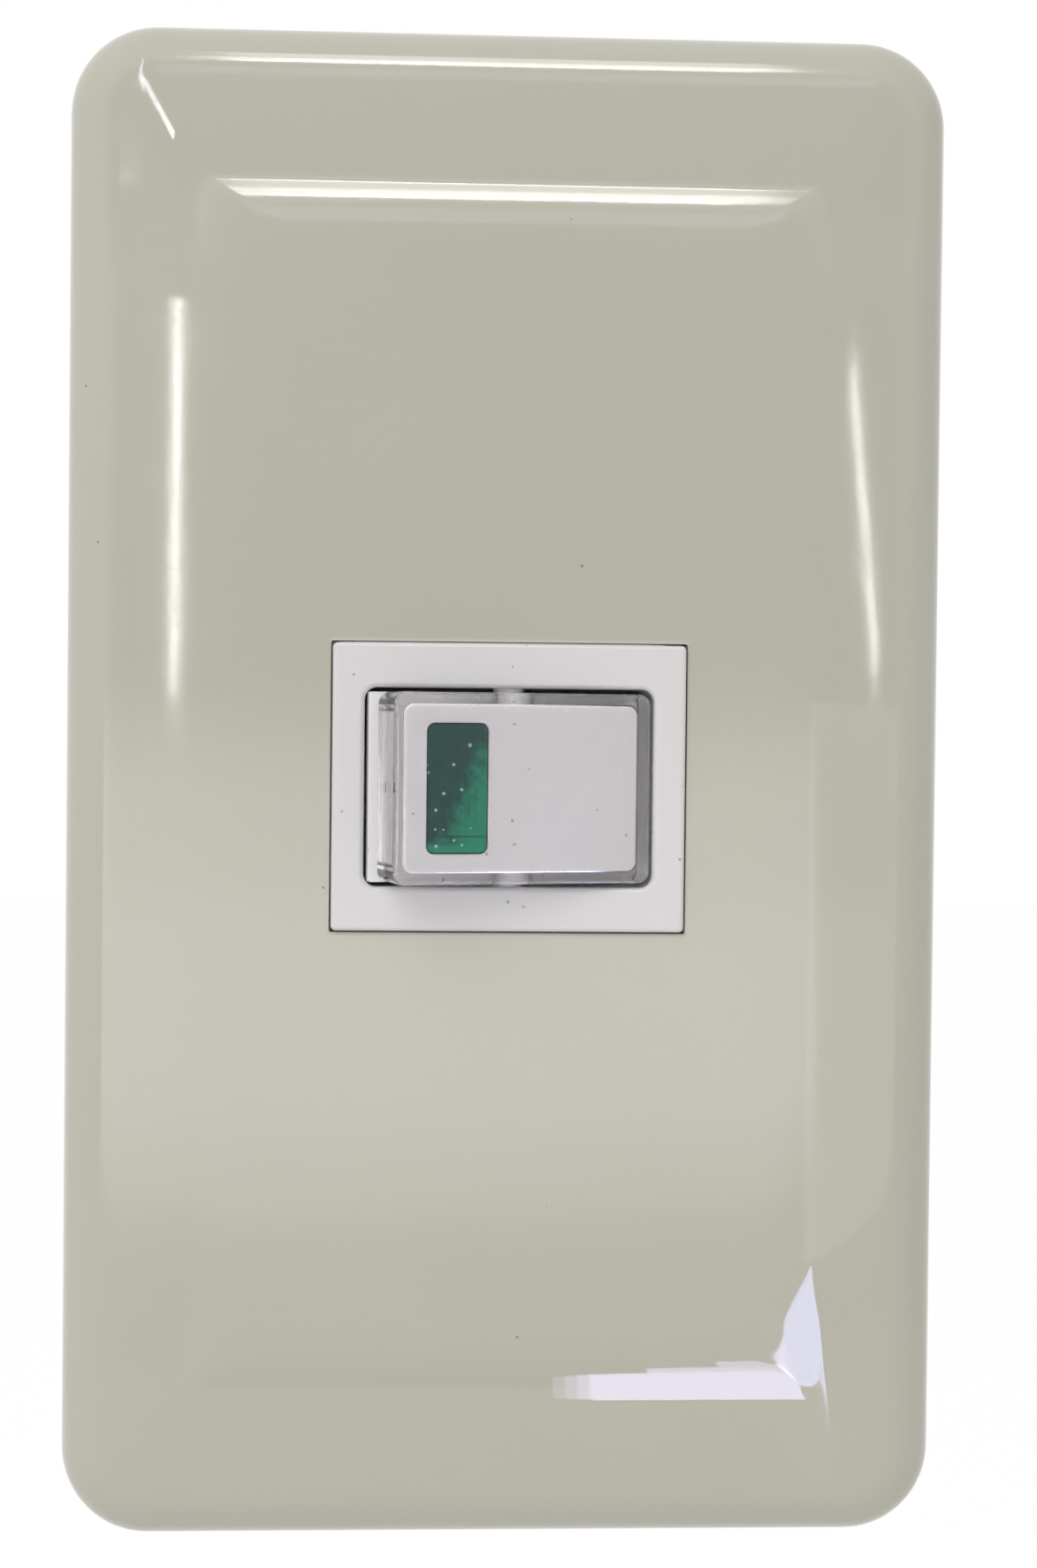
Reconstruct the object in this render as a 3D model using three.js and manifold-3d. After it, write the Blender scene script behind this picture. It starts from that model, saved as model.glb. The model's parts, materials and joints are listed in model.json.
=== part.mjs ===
// One-gang rocker wall switch with a pilot window: clip-on face plate, inner frame, steel strap and a
// clip-in switch module. Millimetres. Every piece is drawn in the front view's frame, where x is right,
// y is up and z is the height out of the wall; the last group turns that frame so that +Z is up.
import * as THREE from "three";
import { mergeVertices } from "three/addons/utils/BufferGeometryUtils.js";
import Module from "manifold-3d";

const wasm = await Module();
wasm.setup();

// Clearances
const seatGap = 0.3; // between pieces that rest on each other
const fitGap = 0.1; // round a piece pushed into another by hand
const runningGap = 0.05; // radial, round a pin, shank or plunger
const overrun = 1.5; // how far a cutting shape passes the face it cuts
const weld = 0.2; // how deep two shapes of one piece run into each other

// Module pitch
const moduleWidth = 27.7;
const moduleHeight = 22.5;
const moduleCount = 3;
const modulePitch = 22.9;

// Face plate
const plateWidth = 70;
const plateHeight = 120;
const plateCorner = 7;
const plateDepth = 8.6;
const plateWall = 1.8;
const plateSideHeight = 2.6; // straight part of the outer wall
const plateEdgeWidth = 4.6; // rounded edge, in from the outline
const plateShoulderHeight = 7.45; // where the rounded edge ends
const plateMarginX = 10.2; // outline to crease, at the sides
const plateMarginY = 12.6; // outline to crease, at the top and bottom
const plateCreaseHeight = 7.75;
const plateMarginBulge = 0.05; // crown of the margin between edge and crease
const plateBlend = 5; // crease to flat field
const plateShoulderLift = 0.3; // the shoulder is this much higher half-way up the sides
const plateFadeStart = 47; // a side's crease is whole this far above the middle
const plateFadeEnd = 37; // and here it has run out into one curve
const sideShares = [0.62, 0.7, 0.78, 0.86, 0.94]; // of a side's straight half
const shoulderCorner = 3;
const creaseCorner = 1.2;
const fieldCorner = 4;
const plateWindowGap = 0.12;
const plateCollarWall = 1.2; // return flange round the window, behind the field
const plateCollarDrop = 1.6;
const plateRibWall = 1;
const plateRibDrop = 1.3;
const plateRibSpread = 13; // rib to the plate's centre line
const clawWidth = 6;
const clawSpread = 38; // side claws above and below the middle
const clawHook = 0.9; // how far the hook reaches under the frame's rim
const clawHeight = 1;
const clawRoot = 1.9; // claw's height above the rim's hook, where it joins the wall
const pryWidth = 8; // notch in the lower wall, for levering the plate off
const pryHeight = 1.2;

// Mounting strap
const strapRail = 6.8; // beside the strap's window
const strapEndInset = 2.5; // strap's end inside the inner frame's end
const strapThickness = 1.2;
const strapCorner = 2.4;
const strapSeatWidth = 0.65; // strap under each side of the bezel
const strapWindowMargin = 0.3; // window past the outer modules
const strapFlangeDepth = 2.4;
const strapFlangeInset = 17; // flange's end to the strap's end
const nubWidth = 1.2;
const nubReach = 1.1;
const boxSlotLength = 9;

// Screws
const boxScrewRadius = 1.75;
const boxScrewLength = 25;
const boxHeadRadius = 3.6;
const boxHeadHeight = 2.2;
const plateScrewRadius = 1.5;
const plateScrewLength = 9;
const plateHeadRadius = 2.9;
const plateHeadHeight = 1.7;
const plateScrewInset = 4.5; // from the strap's end
const screwRowGap = 6.75; // plate screw to box screw
const screwSlotWidth = 0.9;
const screwSlotDepth = 0.9;
const screwPointHeight = 1.2;

// Inner frame
const frameSideGap = 2.7; // to the plate's wall, for the claws
const frameThickness = 1.4;
const frameStep = 0.9; // rim above the part that rests on the strap
const frameCorner = 4;
const frameRimWidth = 8;
const frameWindowGap = 0.35; // window round the bezel
const frameSlotGap = 1.2; // round the box screws' heads
const frameBossWall = 1.2;
const frameBossHeight = 0.8;
const frameRibWall = 1.1;
const frameRibHeight = 1.2;

// Switch module's bezel
const bezelProud = 0.4; // in front of the plate's field
const bezelEdge = 0.3;
const bezelSideWidth = 2.52; // outline to opening, at the sides
const bezelEndWidth = 3.47; // outline to opening, at the top and bottom
const openingCorner = 1;
const openingLip = 0.4;
const bezelWall = 1.3;
const bezelFaceWall = 1.6;
const collarWall = 1.1;
const bearingWidth = 5.4; // solid block round each bearing slot
const bearingFloor = 0.5; // bearing's blind end past the trunnion
const legStart = 4;
const legWidth = 5;
const legLength = 8;
const legWindowWidth = 3;
const legWindowHeight = 2.4;
const legWindowFoot = 1.4; // below the window

// Switch module's rear housing
const baseSideGap = 0.5; // to the strap's window, each side
const baseDepth = 20.8;
const baseWall = 1.4;
const baseCorner = 0.8;
const chamberDepth = 10.4;
const floorThickness = 1.8; // under the terminal pockets
const wedgeGap = 0.2; // inside a leg's window, each side
const catchWidth = 7;
const catchReach = 1.3;
const catchHeight = 1.6;
const catchSlotWidth = 0.8;
const catchSlotDepth = 6.4;
const driverHoleRadius = 3;
const wireHoleRadius = 1.8;
const stripGaugeDepth = 0.6; // shallow recess round each wire entry
const stripGaugeRadius = 3;

// Rocker
const pivotDepth = 1.9; // pivot below the bezel's face
const restTilt = 14; // degrees either side of level
const capEndInset = 0.89; // opening to the cap's end
const capSideGap = 0.36; // opening to the cap's side
const capTop = 4.3; // above the pivot
const capFoot = 0.55; // below the pivot
const capWall = 0.85;
const capCorner = 0.9;
const capCrown = 0.35; // rounding of the cap's upper edge
const skirtGap = 0.15; // skirt to the bezel's opening
const skirtWall = 1.15;
const skirtDrop = 3.4; // skirt's lower edge below the pivot
const ledgeThickness = 1;
const rockerWall = 0.95;
const rockerTopWall = 1.2;
const rockerCorner = 0.8;
const trunnionRadius = 1.2;
const trunnionReach = 1.95; // past the rocker's side
const trunnionBossRadius = 1.45;
const stemRadius = 2.2;
const stemDrop = 6.4; // below the pivot
const stemBoreTop = 1.2; // above the pivot
const webThickness = 1.2;
const webDrop = 2;

// Pilot window
const lensSideInset = 1.95; // from the rocker's end
const lensEndInset = 1.56; // from the rocker's side
const lensCorner = 0.55;
const lensFlange = 0.4;
const lensFlangeThickness = 0.55;
const lensStemGap = 0.23; // flange to the rocker's stem

// Plunger and its spring
const plungerRadius = 1.5;
const plungerTipRadius = 1;
const plungerShoulder = 2.2; // taper's height above the tip
const plungerHeadDrop = 3.6; // plunger's upper face below the pivot
const spigotRadius = 0.75;
const spigotHeight = 0.8;
const springWire = 0.16;
const springRadius = 1.2;
const springTurns = 7;
const springEndGap = 0.25;

// Contact arm
const fulcrumHeight = -4.6;
const armThickness = 0.8;
const armWidth = 4.4;
const wingSlope = 18;
const wingLength = 4.5;
const armSwing = 9; // degrees either side of level
const contactInset = 3; // contact's middle to the terminal block's outer face
const armTail = 1.5; // arm past the contact's centre
const plungerGap = 0.3; // tip to the arm when level
const kneeLength = 0.5; // flat at the left wing's end
const contactRadius = 1.5;
const contactHeight = 0.8;
const contactShankRadius = 0.7;
const contactGap = 0.15; // between the contacts when closed
const rivetTail = 0.25; // shank past the strip

// Terminals
const blockWidth = 6.2;
const blockHeight = 6;
const blockDepth = 8;
const blockBoreRadius = 1.7;
const blockBoreDepth = 6.4;
const blockEdge = 0.4;
const tenonRadius = 1.1;
const terminalScrewRadius = 1.6;
const terminalHeadRadius = 2.6;
const terminalHeadHeight = 1.2;
const terminalScrewRise = 3.9; // screw's axis above the block's back
const terminalScrewPoint = 0.3;
const terminalSlotDepth = 0.6;
const stripThickness = 1;
const stripWidth = 5;
const knifeWidth = 0.24;
const knifeRise = 0.8;

// Pilot lamp and its circuit
const lampSideGap = 1.395; // lamp to the stem and to the rocker's end wall, on average
const lampLength = 8.4;
const lampShift = 0.415; // outward of the middle between stem and end wall
const lampHeight = 5.1;
const lampPip = 0.5;
const leadRadius = 0.25;
const leadGap = 0.15;
const leadStandOff = 0.7; // past the lamp's end
const postThickness = 0.8;
const postWidth = 2.4;
const postOffset = 3.75;
const resistorLength = 6.4;
const resistorRun = 2.5; // resistor's end to the riser of its lead
const resistorRadius = 1.1;
const resistorWaist = 0.9;
const resistorOffset = 6.9; // below the middle
const saddleThickness = 0.9;
const saddleInset = 1.3; // saddle's middle from the resistor's end

// Curve resolution
const cornerSteps = 6;
const sectionSteps = 24;
const roundSides = 24;
const smallSides = 16;
const wireSides = 6;
const wireSteps = 7;
const coilSides = 5;
const coilSteps = 8; // for each turn
const mergeDistance = 1e-5;

// Derived places
const halfTurn = Math.PI;
const degree = Math.PI / 180;
const bezelTop = plateDepth + bezelProud;
const pivotHeight = bezelTop - pivotDepth;
const frameWidth = plateWidth - 2 * (plateWall + frameSideGap);
const frameHeight = plateHeight - 2 * (plateWall + frameSideGap);
const strapWindowWidth = moduleWidth - 2 * strapSeatWidth;
const strapWindowHeight = modulePitch * (moduleCount - 1) + moduleHeight + 2 * strapWindowMargin;
const strapWidth = strapWindowWidth + 2 * strapRail;
const strapHeight = frameHeight - 2 * strapEndInset;
const plateScrewSpacing = strapHeight - 2 * plateScrewInset;
const boxScrewSpacing = plateScrewSpacing - 2 * screwRowGap;
const bezelBack = strapThickness + seatGap;
const frameBack = strapThickness + seatGap;
const frameRimBack = frameBack + frameStep;
const frameFront = frameBack + frameThickness;
const frameRimFront = frameRimBack + frameThickness;
const baseTop = bezelBack - seatGap;
const baseWidth = strapWindowWidth - 2 * baseSideGap;
const legOuter = moduleHeight / 2;
const legThickness = bezelWall - fitGap * 2;
const legInner = legOuter - legThickness;
const baseHeight = 2 * (legInner - seatGap);
const chamberFloor = baseTop - chamberDepth;
const baseBack = baseTop - baseDepth;
const pocketBack = baseBack + floorThickness;
const stripBack = chamberFloor + seatGap;
const stripFront = stripBack + stripThickness;
const blockFront = stripBack - seatGap;
const blockBack = blockFront - blockDepth;
const blockOuter = baseWidth / 2 - baseWall - seatGap;
const blockCentre = blockOuter - blockWidth / 2;
const screwHeight = blockBack + terminalScrewRise;
const leadRiser = resistorLength / 2 + resistorRun;
const saddleSpread = resistorLength / 2 - saddleInset;
const openingWidth = moduleWidth - 2 * bezelSideWidth;
const openingHeight = moduleHeight - 2 * bezelEndWidth;
const capLength = openingWidth - 2 * capEndInset;
const capWidth = openingHeight - 2 * capSideGap;
const skirtRadius = openingWidth / 2 - skirtGap;
const armContactReach = blockOuter - contactInset;
const rockerLength = capLength - 2 * capWall - fitGap;
const rockerWidth = capWidth - 2 * capWall - fitGap;
const rockerTop = capTop - capWall - fitGap / 2;
const lensHeight = rockerWidth - 2 * lensEndInset;
const lensOuter = rockerLength / 2 - lensSideInset;
const lensWidth = lensOuter - stemRadius - lensStemGap - lensFlange;
const lensOffset = lensOuter - lensWidth / 2;
const lampSpace = rockerLength / 2 - rockerWall - stemRadius;
const lampRadius = lampSpace / 2 - lampSideGap;
const lampOffset = stemRadius + lampSpace / 2 + lampShift;
const ledgeTop = -(capFoot + runningGap);
const armApex = armThickness / Math.cos(wingSlope * degree);
const plungerReach =
  pivotHeight - fulcrumHeight - armApex - (plungerTipRadius + plungerGap) / Math.cos(wingSlope * degree);

// A closed geometry as a solid for joining and cutting
function solid(geometry) {
  const bare = geometry.clone();
  bare.deleteAttribute("normal");
  bare.deleteAttribute("uv");
  const merged = mergeVertices(bare, mergeDistance);
  return new wasm.Manifold(
    new wasm.Mesh({
      numProp: 3,
      vertProperties: merged.attributes.position.array,
      triVerts: new Uint32Array(merged.index.array),
    }),
  );
}

// A solid back as a geometry
function geometryOf(made) {
  const mesh = made.getMesh();
  const geometry = new THREE.BufferGeometry();
  geometry.setAttribute("position", new THREE.BufferAttribute(mesh.vertProperties, 3));
  geometry.setIndex(new THREE.BufferAttribute(mesh.triVerts, 1));
  return geometry;
}

function join(first, ...rest) {
  return rest.reduce((sum, next) => sum.add(next), first);
}

function cut(first, ...rest) {
  return rest.reduce((left, next) => left.subtract(next), first);
}

// A box between two corners
function block(low, high) {
  const size = high.map((value, i) => value - low[i]);
  const geometry = new THREE.BoxGeometry(...size);
  geometry.translate(...high.map((value, i) => (value + low[i]) / 2));
  return solid(geometry);
}

// A box centred on x and y, between two heights
function centredBlock(width, height, back, front, x = 0, y = 0) {
  return block([x - width / 2, y - height / 2, back], [x + width / 2, y + height / 2, front]);
}

// The points of a rounded rectangle, the same number for every size, with more of them up the sides at
// the given shares of the straight part
function roundedPoints(halfWidth, halfHeight, corner, shares = []) {
  const radius = Math.min(corner, halfWidth, halfHeight);
  const straight = halfHeight - radius;
  const falling = [...shares].reverse();
  const points = falling.map((part) => [halfWidth, -part * straight]);
  points.push(...shares.map((part) => [halfWidth, part * straight]));
  for (let quarter = 0; quarter < 4; quarter++) {
    const sideX = quarter === 0 || quarter === 3 ? 1 : -1;
    const sideY = quarter < 2 ? 1 : -1;
    if (quarter === 2) {
      points.push(...falling.map((part) => [-halfWidth, part * straight]));
      points.push(...shares.map((part) => [-halfWidth, -part * straight]));
    }
    for (let step = 0; step <= cornerSteps; step++) {
      const angle = (quarter + step / cornerSteps) * (halfTurn / 2);
      points.push([
        sideX * (halfWidth - radius) + radius * Math.cos(angle),
        sideY * (halfHeight - radius) + radius * Math.sin(angle),
      ]);
    }
  }
  return points;
}

// A skin over rounded rectangles: each ring is { w, h, corner, z } with half sizes, and may have shares
// and a lift at each of its points. A closed skin ends on its first ring, as a hoop does, and an open one
// is capped at both ends.
function loft(rings, closed = false) {
  const rows = rings.map(({ w, h, corner, z, shares, lift = () => 0 }) =>
    roundedPoints(w, h, corner, shares).map(([x, y]) => [x, y, z + lift(x, y)]),
  );
  const count = rows[0].length;
  const positions = rows.flat(2);
  const index = [];
  const last = closed ? rows.length : rows.length - 1;
  for (let row = 0; row < last; row++) {
    const here = row * count;
    const next = ((row + 1) % rows.length) * count;
    for (let k = 0; k < count; k++) {
      const after = (k + 1) % count;
      index.push(here + k, here + after, next + after);
      index.push(here + k, next + after, next + k);
    }
  }
  if (!closed) {
    const top = (rows.length - 1) * count;
    for (let k = 1; k < count - 1; k++) {
      index.push(0, k + 1, k);
      index.push(top, top + k, top + k + 1);
    }
  }
  const geometry = new THREE.BufferGeometry();
  geometry.setAttribute("position", new THREE.Float32BufferAttribute(positions, 3));
  geometry.setIndex(index);
  return solid(geometry);
}

// A straight slab of a rounded rectangle
function slab(width, height, corner, back, front, x = 0, y = 0) {
  const ring = { w: width / 2, h: height / 2, corner };
  return loft([
    { ...ring, z: back },
    { ...ring, z: front },
  ]).translate([x, y, 0]);
}

// A turned solid about z: pairs of radius and height, starting and ending on the axis
function turned(pairs, sides = roundSides) {
  const points = pairs.map(([radius, height]) => new THREE.Vector2(radius, height));
  const geometry = new THREE.LatheGeometry(points, sides);
  geometry.rotateX(halfTurn / 2);
  return solid(geometry);
}

// A straight round bar along z
function rod(radius, back, front, sides = roundSides) {
  const pairs = [
    [0, back],
    [radius, back],
    [radius, front],
    [0, front],
  ];
  return turned(pairs, sides);
}

// A z-axis solid laid along x or y
const alongX = (made) => made.rotate([0, 90, 0]);
const alongY = (made) => made.rotate([-90, 0, 0]);

// An outline in x and z, carried along y between two places
function barAlongY(outline, from, to) {
  const shape = new THREE.Shape(outline.map(([x, z]) => new THREE.Vector2(x, z)));
  const geometry = new THREE.ExtrudeGeometry(shape, { depth: to - from, bevelEnabled: false });
  geometry.rotateX(halfTurn / 2);
  geometry.translate(0, to, 0);
  return solid(geometry);
}

// An outline in y and z, carried along x between two places
function barAlongX(outline, from, to) {
  const shape = new THREE.Shape(outline.map(([y, z]) => new THREE.Vector2(y, z)));
  const geometry = new THREE.ExtrudeGeometry(shape, { depth: to - from, bevelEnabled: false });
  geometry.rotateY(halfTurn / 2);
  geometry.rotateX(halfTurn / 2);
  geometry.translate(from, 0, 0);
  return solid(geometry);
}

// A round wire through corner points, each corner bent
function wire(places, bend) {
  const points = places.map((place) => new THREE.Vector3(...place));
  const path = new THREE.CurvePath();
  let start = points[0];
  for (let k = 1; k < points.length - 1; k++) {
    const before = points[k].clone().sub(points[k - 1]).setLength(bend);
    const after = points[k + 1].clone().sub(points[k]).setLength(bend);
    const enter = points[k].clone().sub(before);
    const leave = points[k].clone().add(after);
    path.add(new THREE.LineCurve3(start, enter));
    path.add(new THREE.QuadraticBezierCurve3(enter, points[k], leave));
    start = leave;
  }
  path.add(new THREE.LineCurve3(start, points[points.length - 1]));
  return tube(path, leadRadius, wireSides, wireSteps * (points.length - 1));
}

// A tube round a path, with closed ends
function tube(path, radius, sides, steps) {
  const ring = Array.from({ length: sides }, (unused, k) => {
    const angle = (2 * halfTurn * k) / sides;
    return new THREE.Vector2(radius * Math.cos(angle), radius * Math.sin(angle));
  });
  return solid(new THREE.ExtrudeGeometry(new THREE.Shape(ring), { steps, extrudePath: path }));
}

// Mirror a solid across the vertical middle plane
const mirrored = (made) => made.mirror([1, 0, 0]);

// Face plate

// Section of the plate's front from its outline to the field: pairs of inset and height
function plateSection() {
  const slope = (plateCreaseHeight - plateShoulderHeight) / (plateMarginX - plateEdgeWidth);
  const edge = new THREE.QuadraticBezierCurve(
    new THREE.Vector2(0, plateSideHeight),
    new THREE.Vector2(0, plateShoulderHeight - slope * plateEdgeWidth),
    new THREE.Vector2(plateEdgeWidth, plateShoulderHeight),
  );
  const margin = new THREE.QuadraticBezierCurve(
    new THREE.Vector2(plateEdgeWidth, plateShoulderHeight),
    new THREE.Vector2(
      (plateEdgeWidth + plateMarginX) / 2,
      (plateShoulderHeight + plateCreaseHeight) / 2 + 2 * plateMarginBulge,
    ),
    new THREE.Vector2(plateMarginX, plateCreaseHeight),
  );
  const blend = new THREE.QuadraticBezierCurve(
    new THREE.Vector2(plateMarginX, plateCreaseHeight),
    new THREE.Vector2(plateMarginX + plateBlend / 2, plateDepth),
    new THREE.Vector2(plateMarginX + plateBlend, plateDepth),
  );
  return [
    new THREE.Vector2(0, 0),
    ...edge.getPoints(7),
    ...margin.getPoints(3).slice(1),
    ...blend.getPoints(5).slice(1),
  ];
}

// Section half-way up the sides, where edge, margin and field are one curve without a crease
function sideSection() {
  const shoulder = plateShoulderHeight + plateShoulderLift;
  const rise = plateDepth - shoulder;
  const half = (plateMarginX + plateBlend - plateEdgeWidth) / 2;
  const edge = new THREE.QuadraticBezierCurve(
    new THREE.Vector2(0, plateSideHeight),
    new THREE.Vector2(0, shoulder - (rise / half) * plateEdgeWidth),
    new THREE.Vector2(plateEdgeWidth, shoulder),
  );
  const field = new THREE.QuadraticBezierCurve(
    new THREE.Vector2(plateEdgeWidth, shoulder),
    new THREE.Vector2(plateEdgeWidth + half, plateDepth),
    new THREE.Vector2(plateEdgeWidth + 2 * half, plateDepth),
  );
  return [...edge.getPoints(sectionSteps), ...field.getPoints(sectionSteps).slice(1)];
}

// Height of a section at an inset
function heightAt(section, inset) {
  const next = section.findIndex((point) => point.x > inset);
  if (next < 1) return plateDepth;
  const [before, after] = [section[next - 1], section[next]];
  const part = (inset - before.x) / (after.x - before.x);
  return before.y + part * (after.y - before.y);
}

// How much higher the plate's front is at a point than its section round the corners
function sideLift(x, y) {
  const inset = Math.max(0, plateWidth / 2 - Math.abs(x));
  const share = 1 - THREE.MathUtils.smoothstep(Math.abs(y), plateFadeEnd, plateFadeStart);
  return share * (heightAt(sideSection(), inset) - heightAt(plateSection(), inset));
}

// A ring of the plate at an inset, with the taller margin at the top and bottom
function plateRing(inset, z, wall = 0) {
  const { clamp, lerp } = THREE.MathUtils;
  const marginWidth = plateMarginX - plateEdgeWidth;
  const past = clamp(inset - plateEdgeWidth, 0, marginWidth);
  const stretch = (plateMarginY - plateEdgeWidth) / marginWidth;
  const insetY = inset + past * (stretch - 1);
  const edgeCorner = Math.max(plateCorner - inset - wall, shoulderCorner);
  const outerCorner = lerp(edgeCorner, creaseCorner, past / marginWidth);
  return {
    w: plateWidth / 2 - inset - wall,
    h: plateHeight / 2 - insetY - wall,
    corner: lerp(outerCorner, fieldCorner, clamp((inset - plateMarginX) / plateBlend, 0, 1)),
    z,
  };
}

function plateClaw() {
  const wallInner = plateWidth / 2 - plateWall;
  const hookTop = frameRimBack - seatGap;
  const face = frameWidth / 2 + seatGap;
  const outline = [
    [wallInner + weld, hookTop - clawHeight],
    [wallInner + weld, hookTop + clawRoot],
    [face, hookTop + clawRoot],
    [face, hookTop],
    [face - clawHook - seatGap, hookTop],
    [face, hookTop - clawHeight],
  ];
  return barAlongY(outline, -clawWidth / 2, clawWidth / 2);
}

function facePlate() {
  const front = { shares: sideShares, lift: sideLift };
  const [foot, ...section] = plateSection().map(({ x, y }) => plateRing(x, y));
  const outer = loft([{ ...foot, shares: sideShares }, ...section.map((ring) => ({ ...ring, ...front }))]);
  const rimFloor = plateDepth - plateWall;
  const hollow = loft([
    plateRing(0, -overrun, plateWall),
    plateRing(0, plateSideHeight, plateWall),
    plateRing(plateEdgeWidth / 2, plateShoulderHeight - plateWall, plateWall),
    plateRing(plateMarginX, plateCreaseHeight - plateWall, plateWall),
    plateRing(plateMarginX + plateBlend, rimFloor, plateWall),
  ]);
  const windowWidth = moduleWidth + 2 * plateWindowGap;
  const windowHeight = moduleHeight + 2 * plateWindowGap;
  const collar = centredBlock(
    windowWidth + 2 * plateCollarWall,
    windowHeight + 2 * plateCollarWall,
    rimFloor - plateCollarDrop,
    rimFloor + weld,
  );
  const ribs = [-1, 1].flatMap((side) => [
    centredBlock(
      plateRibWall,
      plateHeight - 2 * plateMarginY,
      rimFloor - plateRibDrop,
      rimFloor + weld,
      side * (plateRibSpread + moduleWidth / 4),
    ),
    centredBlock(
      plateWidth - 2 * plateMarginX,
      plateRibWall,
      rimFloor - plateRibDrop,
      rimFloor + weld,
      0,
      side * (plateRibSpread + moduleHeight / 2),
    ),
  ]);
  const claws = [-1, 1].flatMap((side) => {
    const claw = plateClaw().translate([0, side * clawSpread, 0]);
    return [claw, mirrored(claw)];
  });
  const shell = join(cut(outer, hollow), collar, ...ribs, ...claws);
  const pryTop = plateWall + overrun - plateHeight / 2;
  const pryNotch = block(
    [-pryWidth / 2, -plateHeight / 2 - overrun, -overrun],
    [pryWidth / 2, pryTop, pryHeight],
  );
  return cut(shell, centredBlock(windowWidth, windowHeight, -overrun, plateDepth + overrun), pryNotch);
}

// Mounting strap

function strapNub() {
  const x = strapWindowWidth / 2;
  return block([x - nubReach, -nubWidth / 2, 0], [x + weld, nubWidth / 2, strapThickness]);
}

function mountingStrap() {
  const sheet = slab(strapWidth, strapHeight, strapCorner, 0, strapThickness);
  const window = slab(
    strapWindowWidth,
    strapWindowHeight,
    openingCorner,
    -overrun,
    strapThickness + overrun,
  );
  const flangeLength = strapHeight - 2 * strapFlangeInset;
  const flange = block(
    [strapWidth / 2 - strapThickness, -flangeLength / 2, -strapFlangeDepth],
    [strapWidth / 2, flangeLength / 2, weld],
  );
  const nubs = [];
  for (let place = 0; place < moduleCount; place++) {
    const centre = (place - (moduleCount - 1) / 2) * modulePitch;
    for (const side of [-1, 1]) {
      const y = centre + side * (baseHeight / 2 + wedgeGap + nubWidth / 2);
      const nub = strapNub().translate([0, y, 0]);
      nubs.push(nub, mirrored(nub));
    }
  }
  const holes = [-1, 1].flatMap((side) => [
    slab(
      boxSlotLength,
      2 * (boxScrewRadius + fitGap * 2),
      boxScrewRadius + fitGap * 2,
      -overrun,
      strapThickness + overrun,
      0,
      (side * boxScrewSpacing) / 2,
    ),
    rod(plateScrewRadius + runningGap, -overrun, strapThickness + overrun).translate([
      0,
      (side * plateScrewSpacing) / 2,
      0,
    ]),
  ]);
  return cut(join(cut(sheet, window), flange, mirrored(flange), ...nubs), ...holes);
}

// Inner frame

function innerFrame() {
  const windowHalf = moduleWidth / 2 + frameWindowGap;
  const windowTall = strapWindowHeight / 2;
  const stepW = frameWidth / 2 - frameRimWidth;
  const stepH = strapHeight / 2 + seatGap;
  const ring = (w, h, z) => ({ w, h, corner: frameCorner, z });
  const hoop = loft(
    [
      { w: windowHalf, h: windowTall, corner: openingCorner, z: frameBack },
      ring(stepW, stepH, frameBack),
      ring(stepW + frameThickness, stepH + frameThickness, frameRimBack),
      ring(frameWidth / 2, frameHeight / 2, frameRimBack),
      ring(frameWidth / 2, frameHeight / 2, frameRimFront),
      ring(stepW + weld, stepH + weld, frameRimFront),
      ring(stepW - frameThickness, stepH - frameThickness, frameFront),
      { w: windowHalf, h: windowTall, corner: openingCorner, z: frameFront },
    ],
    true,
  );
  const bosses = [-1, 1].map((side) =>
    rod(plateHeadRadius + frameBossWall, frameFront - weld, frameFront + frameBossHeight).translate([
      0,
      (side * plateScrewSpacing) / 2,
      0,
    ]),
  );
  const ribs = [-1, 1].flatMap((side) => {
    const x = side * (windowHalf + frameRibWall);
    const length = 2 * windowTall;
    return centredBlock(frameRibWall, length, frameFront - weld, frameFront + frameRibHeight, x);
  });
  const holes = [-1, 1].flatMap((side) => {
    const y = (side * plateScrewSpacing) / 2;
    return [
      rod(plateScrewRadius + fitGap * 2, frameBack - overrun, frameFront + overrun).translate([0, y, 0]),
      rod(plateHeadRadius + fitGap * 2, frameFront, frameFront + overrun).translate([0, y, 0]),
      slab(
        boxSlotLength + 2 * boxHeadRadius - 2 * boxScrewRadius + frameSlotGap,
        2 * boxHeadRadius + frameSlotGap,
        boxHeadRadius,
        frameBack - overrun,
        frameFront + overrun,
        0,
        (side * boxScrewSpacing) / 2,
      ),
    ];
  });
  return cut(join(hoop, ...bosses, ...ribs), ...holes);
}

// Screws: head's underside at z = 0, shank down into the wall, slot across x
function slottedScrew(radius, length, headRadius, headHeight) {
  const crown = headHeight / 3;
  const made = turned([
    [0, -length],
    [radius / 3, -length],
    [radius, -length + screwPointHeight],
    [radius, 0],
    [headRadius, 0],
    [headRadius, headHeight - 2 * crown],
    [headRadius * Math.cos(halfTurn / 6), headHeight - crown / 2],
    [headRadius * Math.sin(halfTurn / 9), headHeight],
    [0, headHeight],
  ]);
  const slot = centredBlock(
    2 * headRadius + overrun,
    screwSlotWidth,
    headHeight - screwSlotDepth,
    headHeight + overrun,
  );
  return cut(made, slot);
}

// Module bezel

function bezelLeg(side, across) {
  const x0 = legStart;
  const low = [x0, legInner, bezelBack - legLength];
  const high = [x0 + legWidth, legOuter, bezelBack + weld];
  const leg = block(low, high);
  const windowX = x0 + (legWidth - legWindowWidth) / 2;
  const windowZ = low[2] + legWindowFoot;
  const window = block(
    [windowX, legInner - overrun, windowZ],
    [windowX + legWindowWidth, legOuter + overrun, windowZ + legWindowHeight],
  );
  return cut(leg, window).scale([across, side, 1]);
}

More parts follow.
